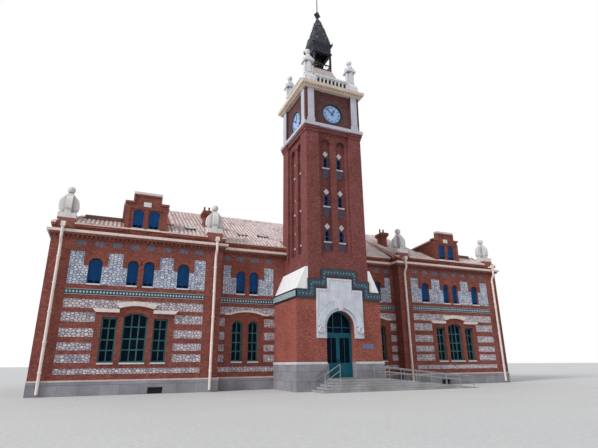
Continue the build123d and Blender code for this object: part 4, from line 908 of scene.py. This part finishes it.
SHEETS, SHEET_WIDE = 10, 0.575
deck_sheets, kerbs = [], []
for sign in (-1, 1):
    for k in range(SHEETS):
        low = 11.25 + SHEET_WIDE * k
        left, right = handed(sign, low, low + SHEET_WIDE)
        front_edge = -1.6 if low < 14.8 else -3.15
        deck_sheets.append(plan_slab(left + 0.01, right - 0.01, front_edge, 8.05, DECK, 0.012))
        deck_sheets.append(plan_slab(left - 0.012, left + 0.012, front_edge, 8.05, DECK + 0.01, 0.035))
    for near, far, low, high, foot, top in (
            (11.2, 11.9, -3.25, -3.1, DECK, 11.88), (14.7, 17.25, -3.75, -3.1, 11.35, 11.79),
            (16.95, 17.1, -3.1, 8.0, DECK, 11.88), (11.2, 17.1, 8.0, 8.15, DECK, 11.88)):
        kerbs.append(plan_slab(*handed(sign, near, far), low, high, foot, top - foot))
new_piece("roof_deck_sheets", *joined(deck_sheets),
          worn_finish("roof_sheet", (150, 152, 156), (124, 126, 132), 0.5, 1.0, 50.0, 0.002, 0.4),
          slot="roof_sheet")
soften(new_piece("roof_deck_kerbs", *joined(kerbs), worn_finish("kerb_sheet", (126, 84, 74), (96, 64, 58), 0.6),
                 slot="roof_sheet"), 0.02)


def on_slope(x, y, slope, eave, half, long, out):
    """A plate that lies on a front slope, long up the slope."""
    middle = EAVE + (y - eave) * slope
    return slab_of(rect(x - half, x + half, -long / 2, long / 2),
                   lambda u, v, out: (u, y + v - out * slope * 0.5, middle + v * slope + out), out)


roof_lights = ((-10.07, -3.72, NORTH_SLOPE, FRONT_EAVE), (-5.6, -2.42, RECESS_SLOPE, RECESS_EAVE),
               (-3.8, -2.27, RECESS_SLOPE, RECESS_EAVE), (5.6, -2.42, RECESS_SLOPE, RECESS_EAVE))
for name, size, light_finish, slot in (
        ("roof_light_frames", (0.40, 0.46, 0.15),
         worn_finish("roof_light_frame", (70, 60, 62), (46, 40, 44), 0.5), "roof_sheet"),
        ("roof_light_panes", (0.33, 0.38, 0.16),
         worn_finish("roof_light_pane", (196, 190, 202), (170, 164, 180), 0.2), "window_glass")):
    new_piece(name, *joined([on_slope(*light, *size) for light in roof_lights]), light_finish, slot=slot)


# Dormers
# Brick attic fronts with two windows, built up from the wall below. Brick steps carry a thin
# coping of white stone over a plain plaque.
dress_node(brick_below(worn_finish("dormer_coping_stone", (236, 230, 228), (214, 206, 204), 0.65), 13.3),
           "dormer_copings")
dormer_trim, dormer_bricks = [], []
for axis in (-AXIS, AXIS):
    dormer_trim.append(("front", FRONT, 0.03, rect(axis - 0.26, axis + 0.26, 12.40, 12.75)))
    for x in (axis - 0.53, axis + 0.53):
        dormer_trim.append(("front", FRONT, 0.08, rect(x - 0.42, x + 0.42, 10.70, 10.79)))
    for left, right in ((-1.4, -1.12), (1.12, 1.4), (-0.11, 0.11)):
        dormer_bricks.append(("front", FRONT, 0.05, rect(axis + left, axis + right, 10.47, 12.2)))
    dormer_bricks.append(("front", FRONT, 0.07, rect(axis - 1.4, axis + 1.4, 12.2, 12.32)))
soften(wall_plates("dormer_plaques_and_sills", dormer_trim, white_stone, "white_stone"), 0.008)
wall_plates("dormer_brick_strips", dormer_bricks, house_brick, "brick")


# Pinnacles, coping stones and white trim
# Cast white stone: over the tower a cross-shaped shaft, gabled cap and ball on each corner block; over
# the pavilions four bulging consoles and a ball on a brick foot. The clock stage's trim is greyer.
# The pinnacles, the parapet and the entrance surround get painted shade in their recesses and between their
# consoles.
dress_node(painted_recess_shade(worn_finish("carved_stone", (240, 240, 242), (214, 213, 218), 0.65), 0.35, 0.9),
           "tower_pinnacles", "parapet")
dress_node(painted_recess_shade(worn_finish("surround_stone", (222, 226, 236), (196, 200, 214), 0.65), 0.25, 0.8),
           "entrance_surround")
dress_node(brick_below(painted_recess_shade(worn_finish("pinnacle_stone", (242, 238, 236), (216, 212, 212), 0.65), 0.45, 0.95),
                       11.05), "pavilion_pinnacles")
dress_node(worn_finish("stage_trim_stone", (204, 204, 216), (186, 186, 198), 0.65), "clock_stage_trim")
dress_node(worn_finish("cap_stone", (252, 252, 252), (240, 240, 242), 0.6), "buttress_caps")


# Downpipes
# Cast iron pipes, painted cream, hang on brackets in the wall,
# with a socket collar at each joint.
def turned_unit(profile, sides):
    """A turned shape about Z from (radius, height) pairs, closed at both ends."""
    turns = [2 * math.pi * k / sides for k in range(sides)]
    points = [(r * math.cos(a), r * math.sin(a), z) for r, z in profile for a in turns]
    faces = [tuple(range(sides))[::-1], tuple(range(len(points) - sides, len(points)))]
    for ring in range(0, len(points) - sides, sides):
        faces += [(ring + k, ring + (k + 1) % sides, ring + (k + 1) % sides + sides, ring + k + sides)
                  for k in range(sides)]
    return points, faces


cream_metal = paint_finish("cream_metal", (248, 236, 230), (230, 214, 206), 0.55)
dress_node(cream_metal, "downpipes")
collar = turned_unit([(0.092, -0.07), (0.112, -0.06), (0.118, 0.0), (0.112, 0.05), (0.092, 0.06)], 16)
set_units("downpipe_collars", collar, [seat("front", FRONT, x, z, 0.16) for x in (-18.33, -8.28, 8.28, 18.33)
                                       for z in (1.35, 3.1, 4.9, 6.7, 8.4)], cream_metal, 8)


# Tower base
# Brick over granite, with a white course between them, a stepped band of glazed tiles along the top
# and a bare name plate beside the door. The band turns the corners and runs back to the wall, with a paler field
# there that paints sunlight on the sides.
TOWER_FRONT, TOWER_MIDDLE, BASE = -8.47, -6.03, 3.33
EDGING = 0.13                                            # dark tiles along the band
half_band = [(0.0, 8.26), (1.47, 8.26), (1.47, 7.48), (2.50, 7.48), (2.50, 6.70), (BASE, 6.70)]
half_soffit = [(BASE, 6.05), (1.90, 6.05), (1.90, 6.84), (0.98, 6.84), (0.98, 7.64), (0.0, 7.64)]


def stepped_band(margin):
    """Outline of the stepped band, drawn in from its edges by a margin."""
    def drawn(points, way):
        moved = [(x + way * margin * (0.05 < x < 3.3), z + way * margin) for x, z in points]
        return moved, [(-x, z) for x, z in moved][::-1]

    (top, top_left), (foot, foot_left) = drawn(half_band, -1), drawn(half_soffit, 1)
    return top_left + top[1:] + foot + foot_left[1:]


navy_glaze = glazed_finish("navy_glaze", (44, 52, 66), (30, 36, 50), 0.12)
wall_plates("base_band_edging", [("front", TOWER_FRONT, 0.06, stepped_band(0))], navy_glaze, "teal_timber")
wall_plates("base_band_field", [("front", TOWER_FRONT, 0.085, stepped_band(EDGING))], blue_glaze, "teal_timber")
# The side bands' field is a paler copy of the blue glaze, painted as if in sunlight.
sunlit_field_glaze = glazed_finish("painted_sunlit_glaze", (196, 214, 214), (170, 194, 198), 0.12)
for name, out, foot, top, glaze in (("edging", 0.06, 6.05, 6.70, navy_glaze),
                                    ("field", 0.085, 6.18, 6.57, sunlit_field_glaze)):
    plate = rect(TOWER_FRONT, RECESS, foot, top)
    wall_plates(f"base_side_band_{name}", [("left", -BASE, out, plate), ("right", BASE, out, plate)],
                glaze, "teal_timber")
zigzags = []
corners = [(0.0, 7.95), (1.23, 7.95), (1.23, 7.16), (2.2, 7.16), (2.2, 6.375), (3.25, 6.375)]
for (x0, z0), (x1, z1) in zip(corners, corners[1:]):
    count = max(1, round((abs(x1 - x0) + abs(z1 - z0)) / 0.25))
    for u, z in zip(spaced(x0, x1, count), spaced(z0, z1, count)):
        zigzags += [seat("front", TOWER_FRONT, sign * u, z, 0.083, (0.62, 1, 0.62)) for sign in (-1, 1)]
pale_blue_glaze = worn_finish("pale_blue_glaze", (112, 148, 176), (90, 126, 158), 0.25, 6.0, 30.0, 0.001)
set_units("base_band_lozenges", lozenge, zigzags, pale_blue_glaze, 9)

near, far = TOWER_FRONT - 0.08, TOWER_FRONT + 0.02
white_course = [plan_slab(*plan, 1.69, 0.16) for plan in (
    (-3.41, -1.1, near, far), (1.1, 3.41, near, far), (-3.41, -3.31, far, RECESS), (3.31, 3.41, far, RECESS))]
soften(new_piece("base_white_course", *joined(white_course), white_stone, slot="white_stone"), 0.012)
soften(wall_plates("bare_name_plate", [("front", TOWER_FRONT, 0.025, rect(1.71, 2.63, 2.70, 3.04))],
                   paint_finish("plate_blue", (118, 122, 158), (104, 108, 146)), "cream_metal"), 0.006)


# Entrance
# White panel over the arch with a raised frame and a keystone; scrolls end the round moulding.
# Each leaf is green-blue timber with a raised panel at the foot and two tall dark panes above it.
PANEL_FACE, KEYSTONE = TOWER_FRONT - 0.07, [(-0.16, 5.30), (-0.22, 5.98), (0.22, 5.98), (0.16, 5.30)]
trim = [("front", PANEL_FACE, 0.03, rect(-0.92, 0.92, 7.42, 7.49))]
for sign in (-1, 1):
    for near, far, foot, top in ((1.08, 1.76, 6.62, 6.69), (0.86, 0.92, 6.60, 7.42), (1.74, 1.80, 3.42, 6.69)):
        trim.append(("front", PANEL_FACE, 0.03, rect(*handed(sign, near, far), foot, top)))
trim.append(("front", PANEL_FACE, 0.13, KEYSTONE))
soften(wall_plates("entrance_panel_mouldings", trim, white_stone, "white_stone"), 0.01)


def scroll(sign, steps=40, sides=8):
    """A round bar that winds in to the eye of a scroll and thins on its way."""
    points = []
    for k in range(steps + 1):
        a = -math.pi / 2 + 3.6 * math.pi * k / steps
        r, thick = 0.225 * (1 - 0.8 * k / steps), 0.046 * (1 - 0.4 * k / steps)
        middle = Vector((sign * (1.52 + r * math.cos(a)), TOWER_FRONT - 0.235, 3.98 + r * math.sin(a)))
        radial = Vector((sign * math.cos(a), 0, math.sin(a)))
        for b in [2 * math.pi * j / sides for j in range(sides)]:
            points.append(middle + radial * thick * math.cos(b) + Vector((0, thick * math.sin(b), 0)))
    faces = [(k + j, k + (j + 1) % sides, k + (j + 1) % sides + sides, k + j + sides)
             for k in range(0, steps * sides, sides) for j in range(sides)]
    return points, faces + [tuple(range(sides)), tuple(range(steps * sides, (steps + 1) * sides))]


new_piece("entrance_scrolls", *joined([scroll(-1), scroll(1)]), white_stone, slot="white_stone")
door_paint = paint_finish("door_paint", (22, 106, 128), (10, 84, 104))
dress_node(door_paint, "door_frame", "left_door_leaf", "right_door_leaf")
dress_node(pane, "fanlight_glass")
LEAF_FACE = -7.97
for word, sign in (("left", -1), ("right", 1)):
    leaf = f"{word}_leaf"
    panes = [("front", LEAF_FACE, 0.005, rect(*handed(sign, near, far), 1.78, 3.46))
             for near, far in ((0.14, 0.49), (0.55, 0.90))]
    wall_plates(f"{leaf}_panes", panes, pane, "window_glass", leaf)
    foot_panel = [("front", LEAF_FACE, 0.018, rect(*handed(sign, 0.16, 0.88), 1.00, 1.58))]
    soften(wall_plates(f"{leaf}_foot_panel", foot_panel, door_paint, "teal_timber", leaf), 0.01)


# Tower shaft dressings
# White diamond stones over the slit windows, white sills below them with a dark glazed panel under each,
# brick arch rings that close the tall recessed strips, and corbelled brick at the strips' foot.
STRIP = 0.44                                             # depth of the recessed strips
tower_faces = {"front": TOWER_MIDDLE - 2.44, "rear": TOWER_MIDDLE + 2.44, "left": -2.44, "right": 2.44}
shaft_white, shaft_panels, shaft_arches, corbels = [], [], [], []
for side, face in tower_faces.items():
    centre = 0.0 if side in ("front", "rear") else TOWER_MIDDLE
    for way in (-1, 1):
        u = centre + way * 0.6
        for sill in (16.4,) if side == "rear" else (10.4, 13.2, 16.4):
            top = sill + 1.17
            diamond = [(u - 0.24, top), (u, top + 0.26), (u + 0.24, top), (u, top - 0.26)]
            shaft_white.append((side, face, -0.40, diamond))
            shaft_white.append((side, face, -0.36, rect(u - 0.33, u + 0.33, sill - 0.11, sill)))
            shaft_panels.append((side, face, -0.42, rect(u - 0.26, u + 0.26, sill - 0.85, sill - 0.16)))
        for a in spaced(-math.pi / 2, math.pi / 2, 13):
            shaft_arches.append(seat(side, face, u + 0.07 * way + 0.50 * math.sin(a), 18.42 + 0.45 * math.cos(a),
                                     -0.21, roll=a if side in ("front", "right") else -a))
    if side != "rear":
        for k in range(4):
            course = rect(centre - 1.35, centre + 1.35, 9.0 + 0.15 * k, 9.15 + 0.15 * k)
            corbels.append((side, face, -0.04 - 0.04 * k, course))
wall_plates("shaft_foot_corbels", corbels, tower_brick, "brick", back=STRIP)
soften(wall_plates("shaft_diamonds_and_sills", shaft_white, white_stone, "white_stone", back=STRIP), 0.008)
wall_plates("shaft_sill_panels", shaft_panels, glazed_finish("dusk_glaze", (78, 74, 104), (58, 58, 84), 0.1),
            "teal_timber", back=STRIP)
set_units("shaft_arch_bricks", box_unit(0.075, 0.05, 0.22, 0.006), shaft_arches, tower_brick, 10)


# Clocks
# Pale blue-white enamel dials in a black ring, one on each face of the tower, with painted numerals
# and minute strokes. Thin black metal hands turn on a spindle in the middle.
CLOCK_HEIGHT, RING, STROKES, NUMERALS = 21.2, 0.775, 0.735, 0.605      # the dial's middle, and radii on it


def dial_finish():
    """Enamel inside the black ring, by distance from the dial's middle."""
    finish, tree, shader = new_finish("dial_enamel", 0.35)
    place = part_of(tree, "ShaderNodeSeparateXYZ", {0: own_place(tree)})
    away = sum_of(tree, "ABSOLUTE", sum_of(tree, "SUBTRACT", place.outputs[1], TOWER_MIDDLE))
    near = sum_of(tree, "MINIMUM", away, sum_of(tree, "ABSOLUTE", place))
    high = sum_of(tree, "SUBTRACT", place.outputs[2], CLOCK_HEIGHT)
    flat = part_of(tree, "ShaderNodeCombineXYZ", {0: near, 1: high})
    far = part_of(tree, "ShaderNodeVectorMath", {0: flat}, operation="LENGTH")
    ring = sum_of(tree, "GREATER_THAN", far.outputs["Value"], RING)
    enamel = blend_of(tree, cloud(tree, 3.0), shade(154, 186, 232), shade(136, 170, 222))
    coat(tree, shader, blend_of(tree, ring, enamel, shade(8, 10, 18)))
    return finish


def at_tower(turn, point):
    """A point given before the tower's front, turned about the tower's middle."""
    return Matrix.Rotation(turn, 4, "Z") @ Vector(point) + Vector((0, TOWER_MIDDLE, 0))


dress_node(dial_finish(), "clock_dials")
hand_black = worn_finish("hand_black", (26, 26, 30), (14, 14, 18), 0.45, 4.0)
strokes = []
for word, turn in wall_turn.items():
    dress_node(hand_black, f"{word}_hour_hand", f"{word}_minute_hand")
    for k in range(60):
        a = math.radians(6 * k)
        spot = at_tower(turn, (STROKES * math.sin(a), -2.2405, CLOCK_HEIGHT + STROKES * math.cos(a)))
        strokes.append((tuple(spot), (0, a, turn), (1, 1, 1) if k % 5 else (2.4, 1, 1.3)))
set_units("dial_minute_strokes", box_unit(0.012, 0.005, 0.05), strokes, hand_black, 11)
numerals = []
for k, word in enumerate(("XII", "I", "II", "III", "IV", "V", "VI", "VII", "VIII", "IX", "X", "XI")):
    letter = bpy.data.curves.new("numeral", "FONT")
    letter.body, letter.size, letter.extrude = word, 0.205, 0.004
    letter.align_x, letter.align_y, letter.resolution_u = "CENTER", "CENTER", 2
    holder = stand("numeral", letter)
    graph = bpy.context.evaluated_depsgraph_get()
    mesh = bpy.data.meshes.new_from_object(holder.evaluated_get(graph), depsgraph=graph)
    on_dial = (Matrix.Rotation(math.radians(30 * k), 4, "Y") @ Matrix.Translation((0, -2.245, NUMERALS)) @
               Matrix.Rotation(math.pi / 2, 4, "X"))
    for turn in wall_turn.values():
        to_tower = Matrix.Translation((0, TOWER_MIDDLE, CLOCK_HEIGHT)) @ Matrix.Rotation(turn, 4, "Z") @ on_dial
        numerals.append(([to_tower @ v.co for v in mesh.vertices], [tuple(p.vertices) for p in mesh.polygons]))
    bpy.data.objects.remove(holder)
    bpy.data.curves.remove(letter)
new_piece("dial_numerals", *joined(numerals), hand_black, slot="hand_black", outward=False)


# Tower cornice
# A stone cornice in two steps, warmer and dirtier than the white trim, with stone blocks below it.
# A dark sheet behind the parapet paints the shade that shows through its holes.
cornice_stone = worn_finish("cornice_stone", (232, 216, 198), (206, 188, 172), 0.75)
dress_node(cornice_stone, "tower_cornice")
blocks, shade_sheets = [], []
for turn in wall_turn.values():
    for k in range(19):
        blocks.append((tuple(at_tower(turn, (-2.34 + 0.26 * k, -2.64, 23.26))), (0, 0, turn), (1, 1, 1)))
    # Dark sheets behind the parapet's holes: painted shade.
    shade_sheets.append(slab_of(rect(-1.52, 1.52, 23.61, 24.43),
                            lambda u, z, out: at_tower(turn, (u, -2.12 - out, z)), 0.05))
set_units("tower_cornice_blocks", box_unit(0.12, 0.13, 0.12, 0.012), blocks, cornice_stone, 12)
new_piece("parapet_upstand", *joined(shade_sheets), worn_finish("painted_shade_sheet", (58, 52, 54), (38, 34, 38), 0.7),
          slot="black_iron")


# Belfry and spire
# Black iron: four posts with a rail and curved brackets on a pale sheet-metal skirt, a bronze bell inside,
# and a steep spire with gables, overlapping lead scales, some worn bright, hooks along its hips and a finial.
iron = worn_finish("black_iron", (56, 58, 70), (36, 38, 50), 0.5, 3.0, 90.0, 0.002, 0.4)
dress_node(iron, "belfry_frame", "spire")
dress_node(worn_finish("sheet_skirt", (204, 192, 188), (172, 162, 160), 0.55, 2.5, 60.0, 0.002), "belfry_roof")
dress_node(worn_finish("bell_bronze", (96, 78, 52), (70, 58, 42), 0.4, 5.0, 80.0, 0.001, 0.9), "bell")


def bar(turn, start, end, wide):
    """A square bar between two points of the tower."""
    start, end = at_tower(turn, start), at_tower(turn, end)
    way = (end - start).normalized()
    side = way.cross(Vector((0.13, 0.21, 0.97))).normalized() * wide / 2
    other = way.cross(side).normalized() * wide / 2
    corners = [side + other, -side + other, -side - other, side - other]
    return [at + c for at in (start, end) for c in corners], BOX_FACES


def bracket(sign, a):
    """A point of the curved bracket under the belfry's head."""
    return sign * (0.73 - 0.42 * (1 - math.cos(a))), -0.8, 27.89 + 0.42 * math.sin(a)


bars = []
for turn in wall_turn.values():
    for low in [-0.8 + 0.4 * k for k in range(4)]:
        for start, end in ((low, low + 0.4), (low + 0.4, low)):
            bars.append(bar(turn, (start, -0.865, 28.92), (end, -0.865, 28.47), 0.035))
    for x in [-0.63 + 0.18 * k for k in range(8)]:
        bars.append(bar(turn, (x, -0.8, 26.64), (x, -0.8, 27.09), 0.028))
    bars += [bar(turn, bracket(sign, math.pi / 8 * k), bracket(sign, math.pi / 8 * (k + 1)), 0.045)
             for sign in (-1, 1) for k in range(4)]
new_piece("belfry_braces", *joined(bars), iron, slot="black_iron")

spire_profile = [(29.30, 1.03), (29.60, 0.82), (30.60, 0.61), (31.20, 0.49), (31.70, 0.36), (32.50, 0.18),
                 (32.70, 0.10)]                          # height, half width


def spire_half(z):
    """The spire's half width at a height, and how fast it changes."""
    for (z0, h0), (z1, h1) in zip(spire_profile, spire_profile[1:]):
        if z0 <= z <= z1:
            return h0 + (h1 - h0) * (z - z0) / (z1 - z0), (h1 - h0) / (z1 - z0)
    return 0.1, 0.0


scales, hooks = [], []
for turn in wall_turn.values():
    for row in range(18):
        z = 29.62 + 0.15 * row
        half, lean_in = spire_half(z)
        count = max(1, int(2 * half / 0.2))
        for k in range(count):
            u = -half + 2 * half * (k + 0.5 + (0.25 if row % 2 else -0.25)) / count
            if abs(u) < half - 0.04:
                scales.append((tuple(at_tower(turn, (u, -half, z))), (math.atan(lean_in), 0, turn), (1, 0.6, 1)))
    for z in [29.7 + 0.24 * k for k in range(12)]:
        half = spire_half(z)[0]
        hooks.append((tuple(at_tower(turn, (half, -half, z))), (0, 0, turn + math.pi / 4), (0.7, 0.5, 0.6)))
scale_unit = ([(-0.09, -0.004, 0.14), (0.09, -0.004, 0.14), (0.09, -0.03, 0.04), (0, -0.036, -0.06),
               (-0.09, -0.03, 0.04), (-0.09, 0.01, 0.14), (0.09, 0.01, 0.14), (0.09, 0.0, 0.04), (0, 0.0, -0.06),
               (-0.09, 0.0, 0.04)], shell_faces(5))
hook_unit = ([(-0.02, 0.03, -0.05), (0.02, 0.03, -0.05), (0.02, -0.11, 0.02), (-0.02, -0.11, 0.02),
              (-0.02, 0.03, 0.05), (0.02, 0.03, 0.05), (0.02, -0.13, 0.12), (-0.02, -0.13, 0.12)], BOX_FACES)
lead, lead_tree, lead_shader = new_finish("lead_scale", 0.5, 0.2)
scale_tint = part_of(lead_tree, "ShaderNodeAttribute", attribute_name="tint")
worn_bright = spread(lead_tree, scale_tint.outputs["Fac"], 0.0, 0.8, 0.55, 1.0)
coat(lead_tree, lead_shader, blend_of(lead_tree, worn_bright, shade(34, 35, 44), shade(136, 140, 152)),
     cloud(lead_tree, 60.0), 0.003)
set_units("spire_scales", scale_unit, scales, lead, 13)
set_units("spire_hooks", hook_unit, hooks, iron, 14)


# Handrails
# Round steel tube, brushed, welded to round posts
# that are let into the steps and the ramp.
dress_node(worn_finish("brushed_steel", (176, 180, 184), (150, 154, 160), 0.35, 4.0, 140.0, 0.0006, 0.9),
           "handrails")
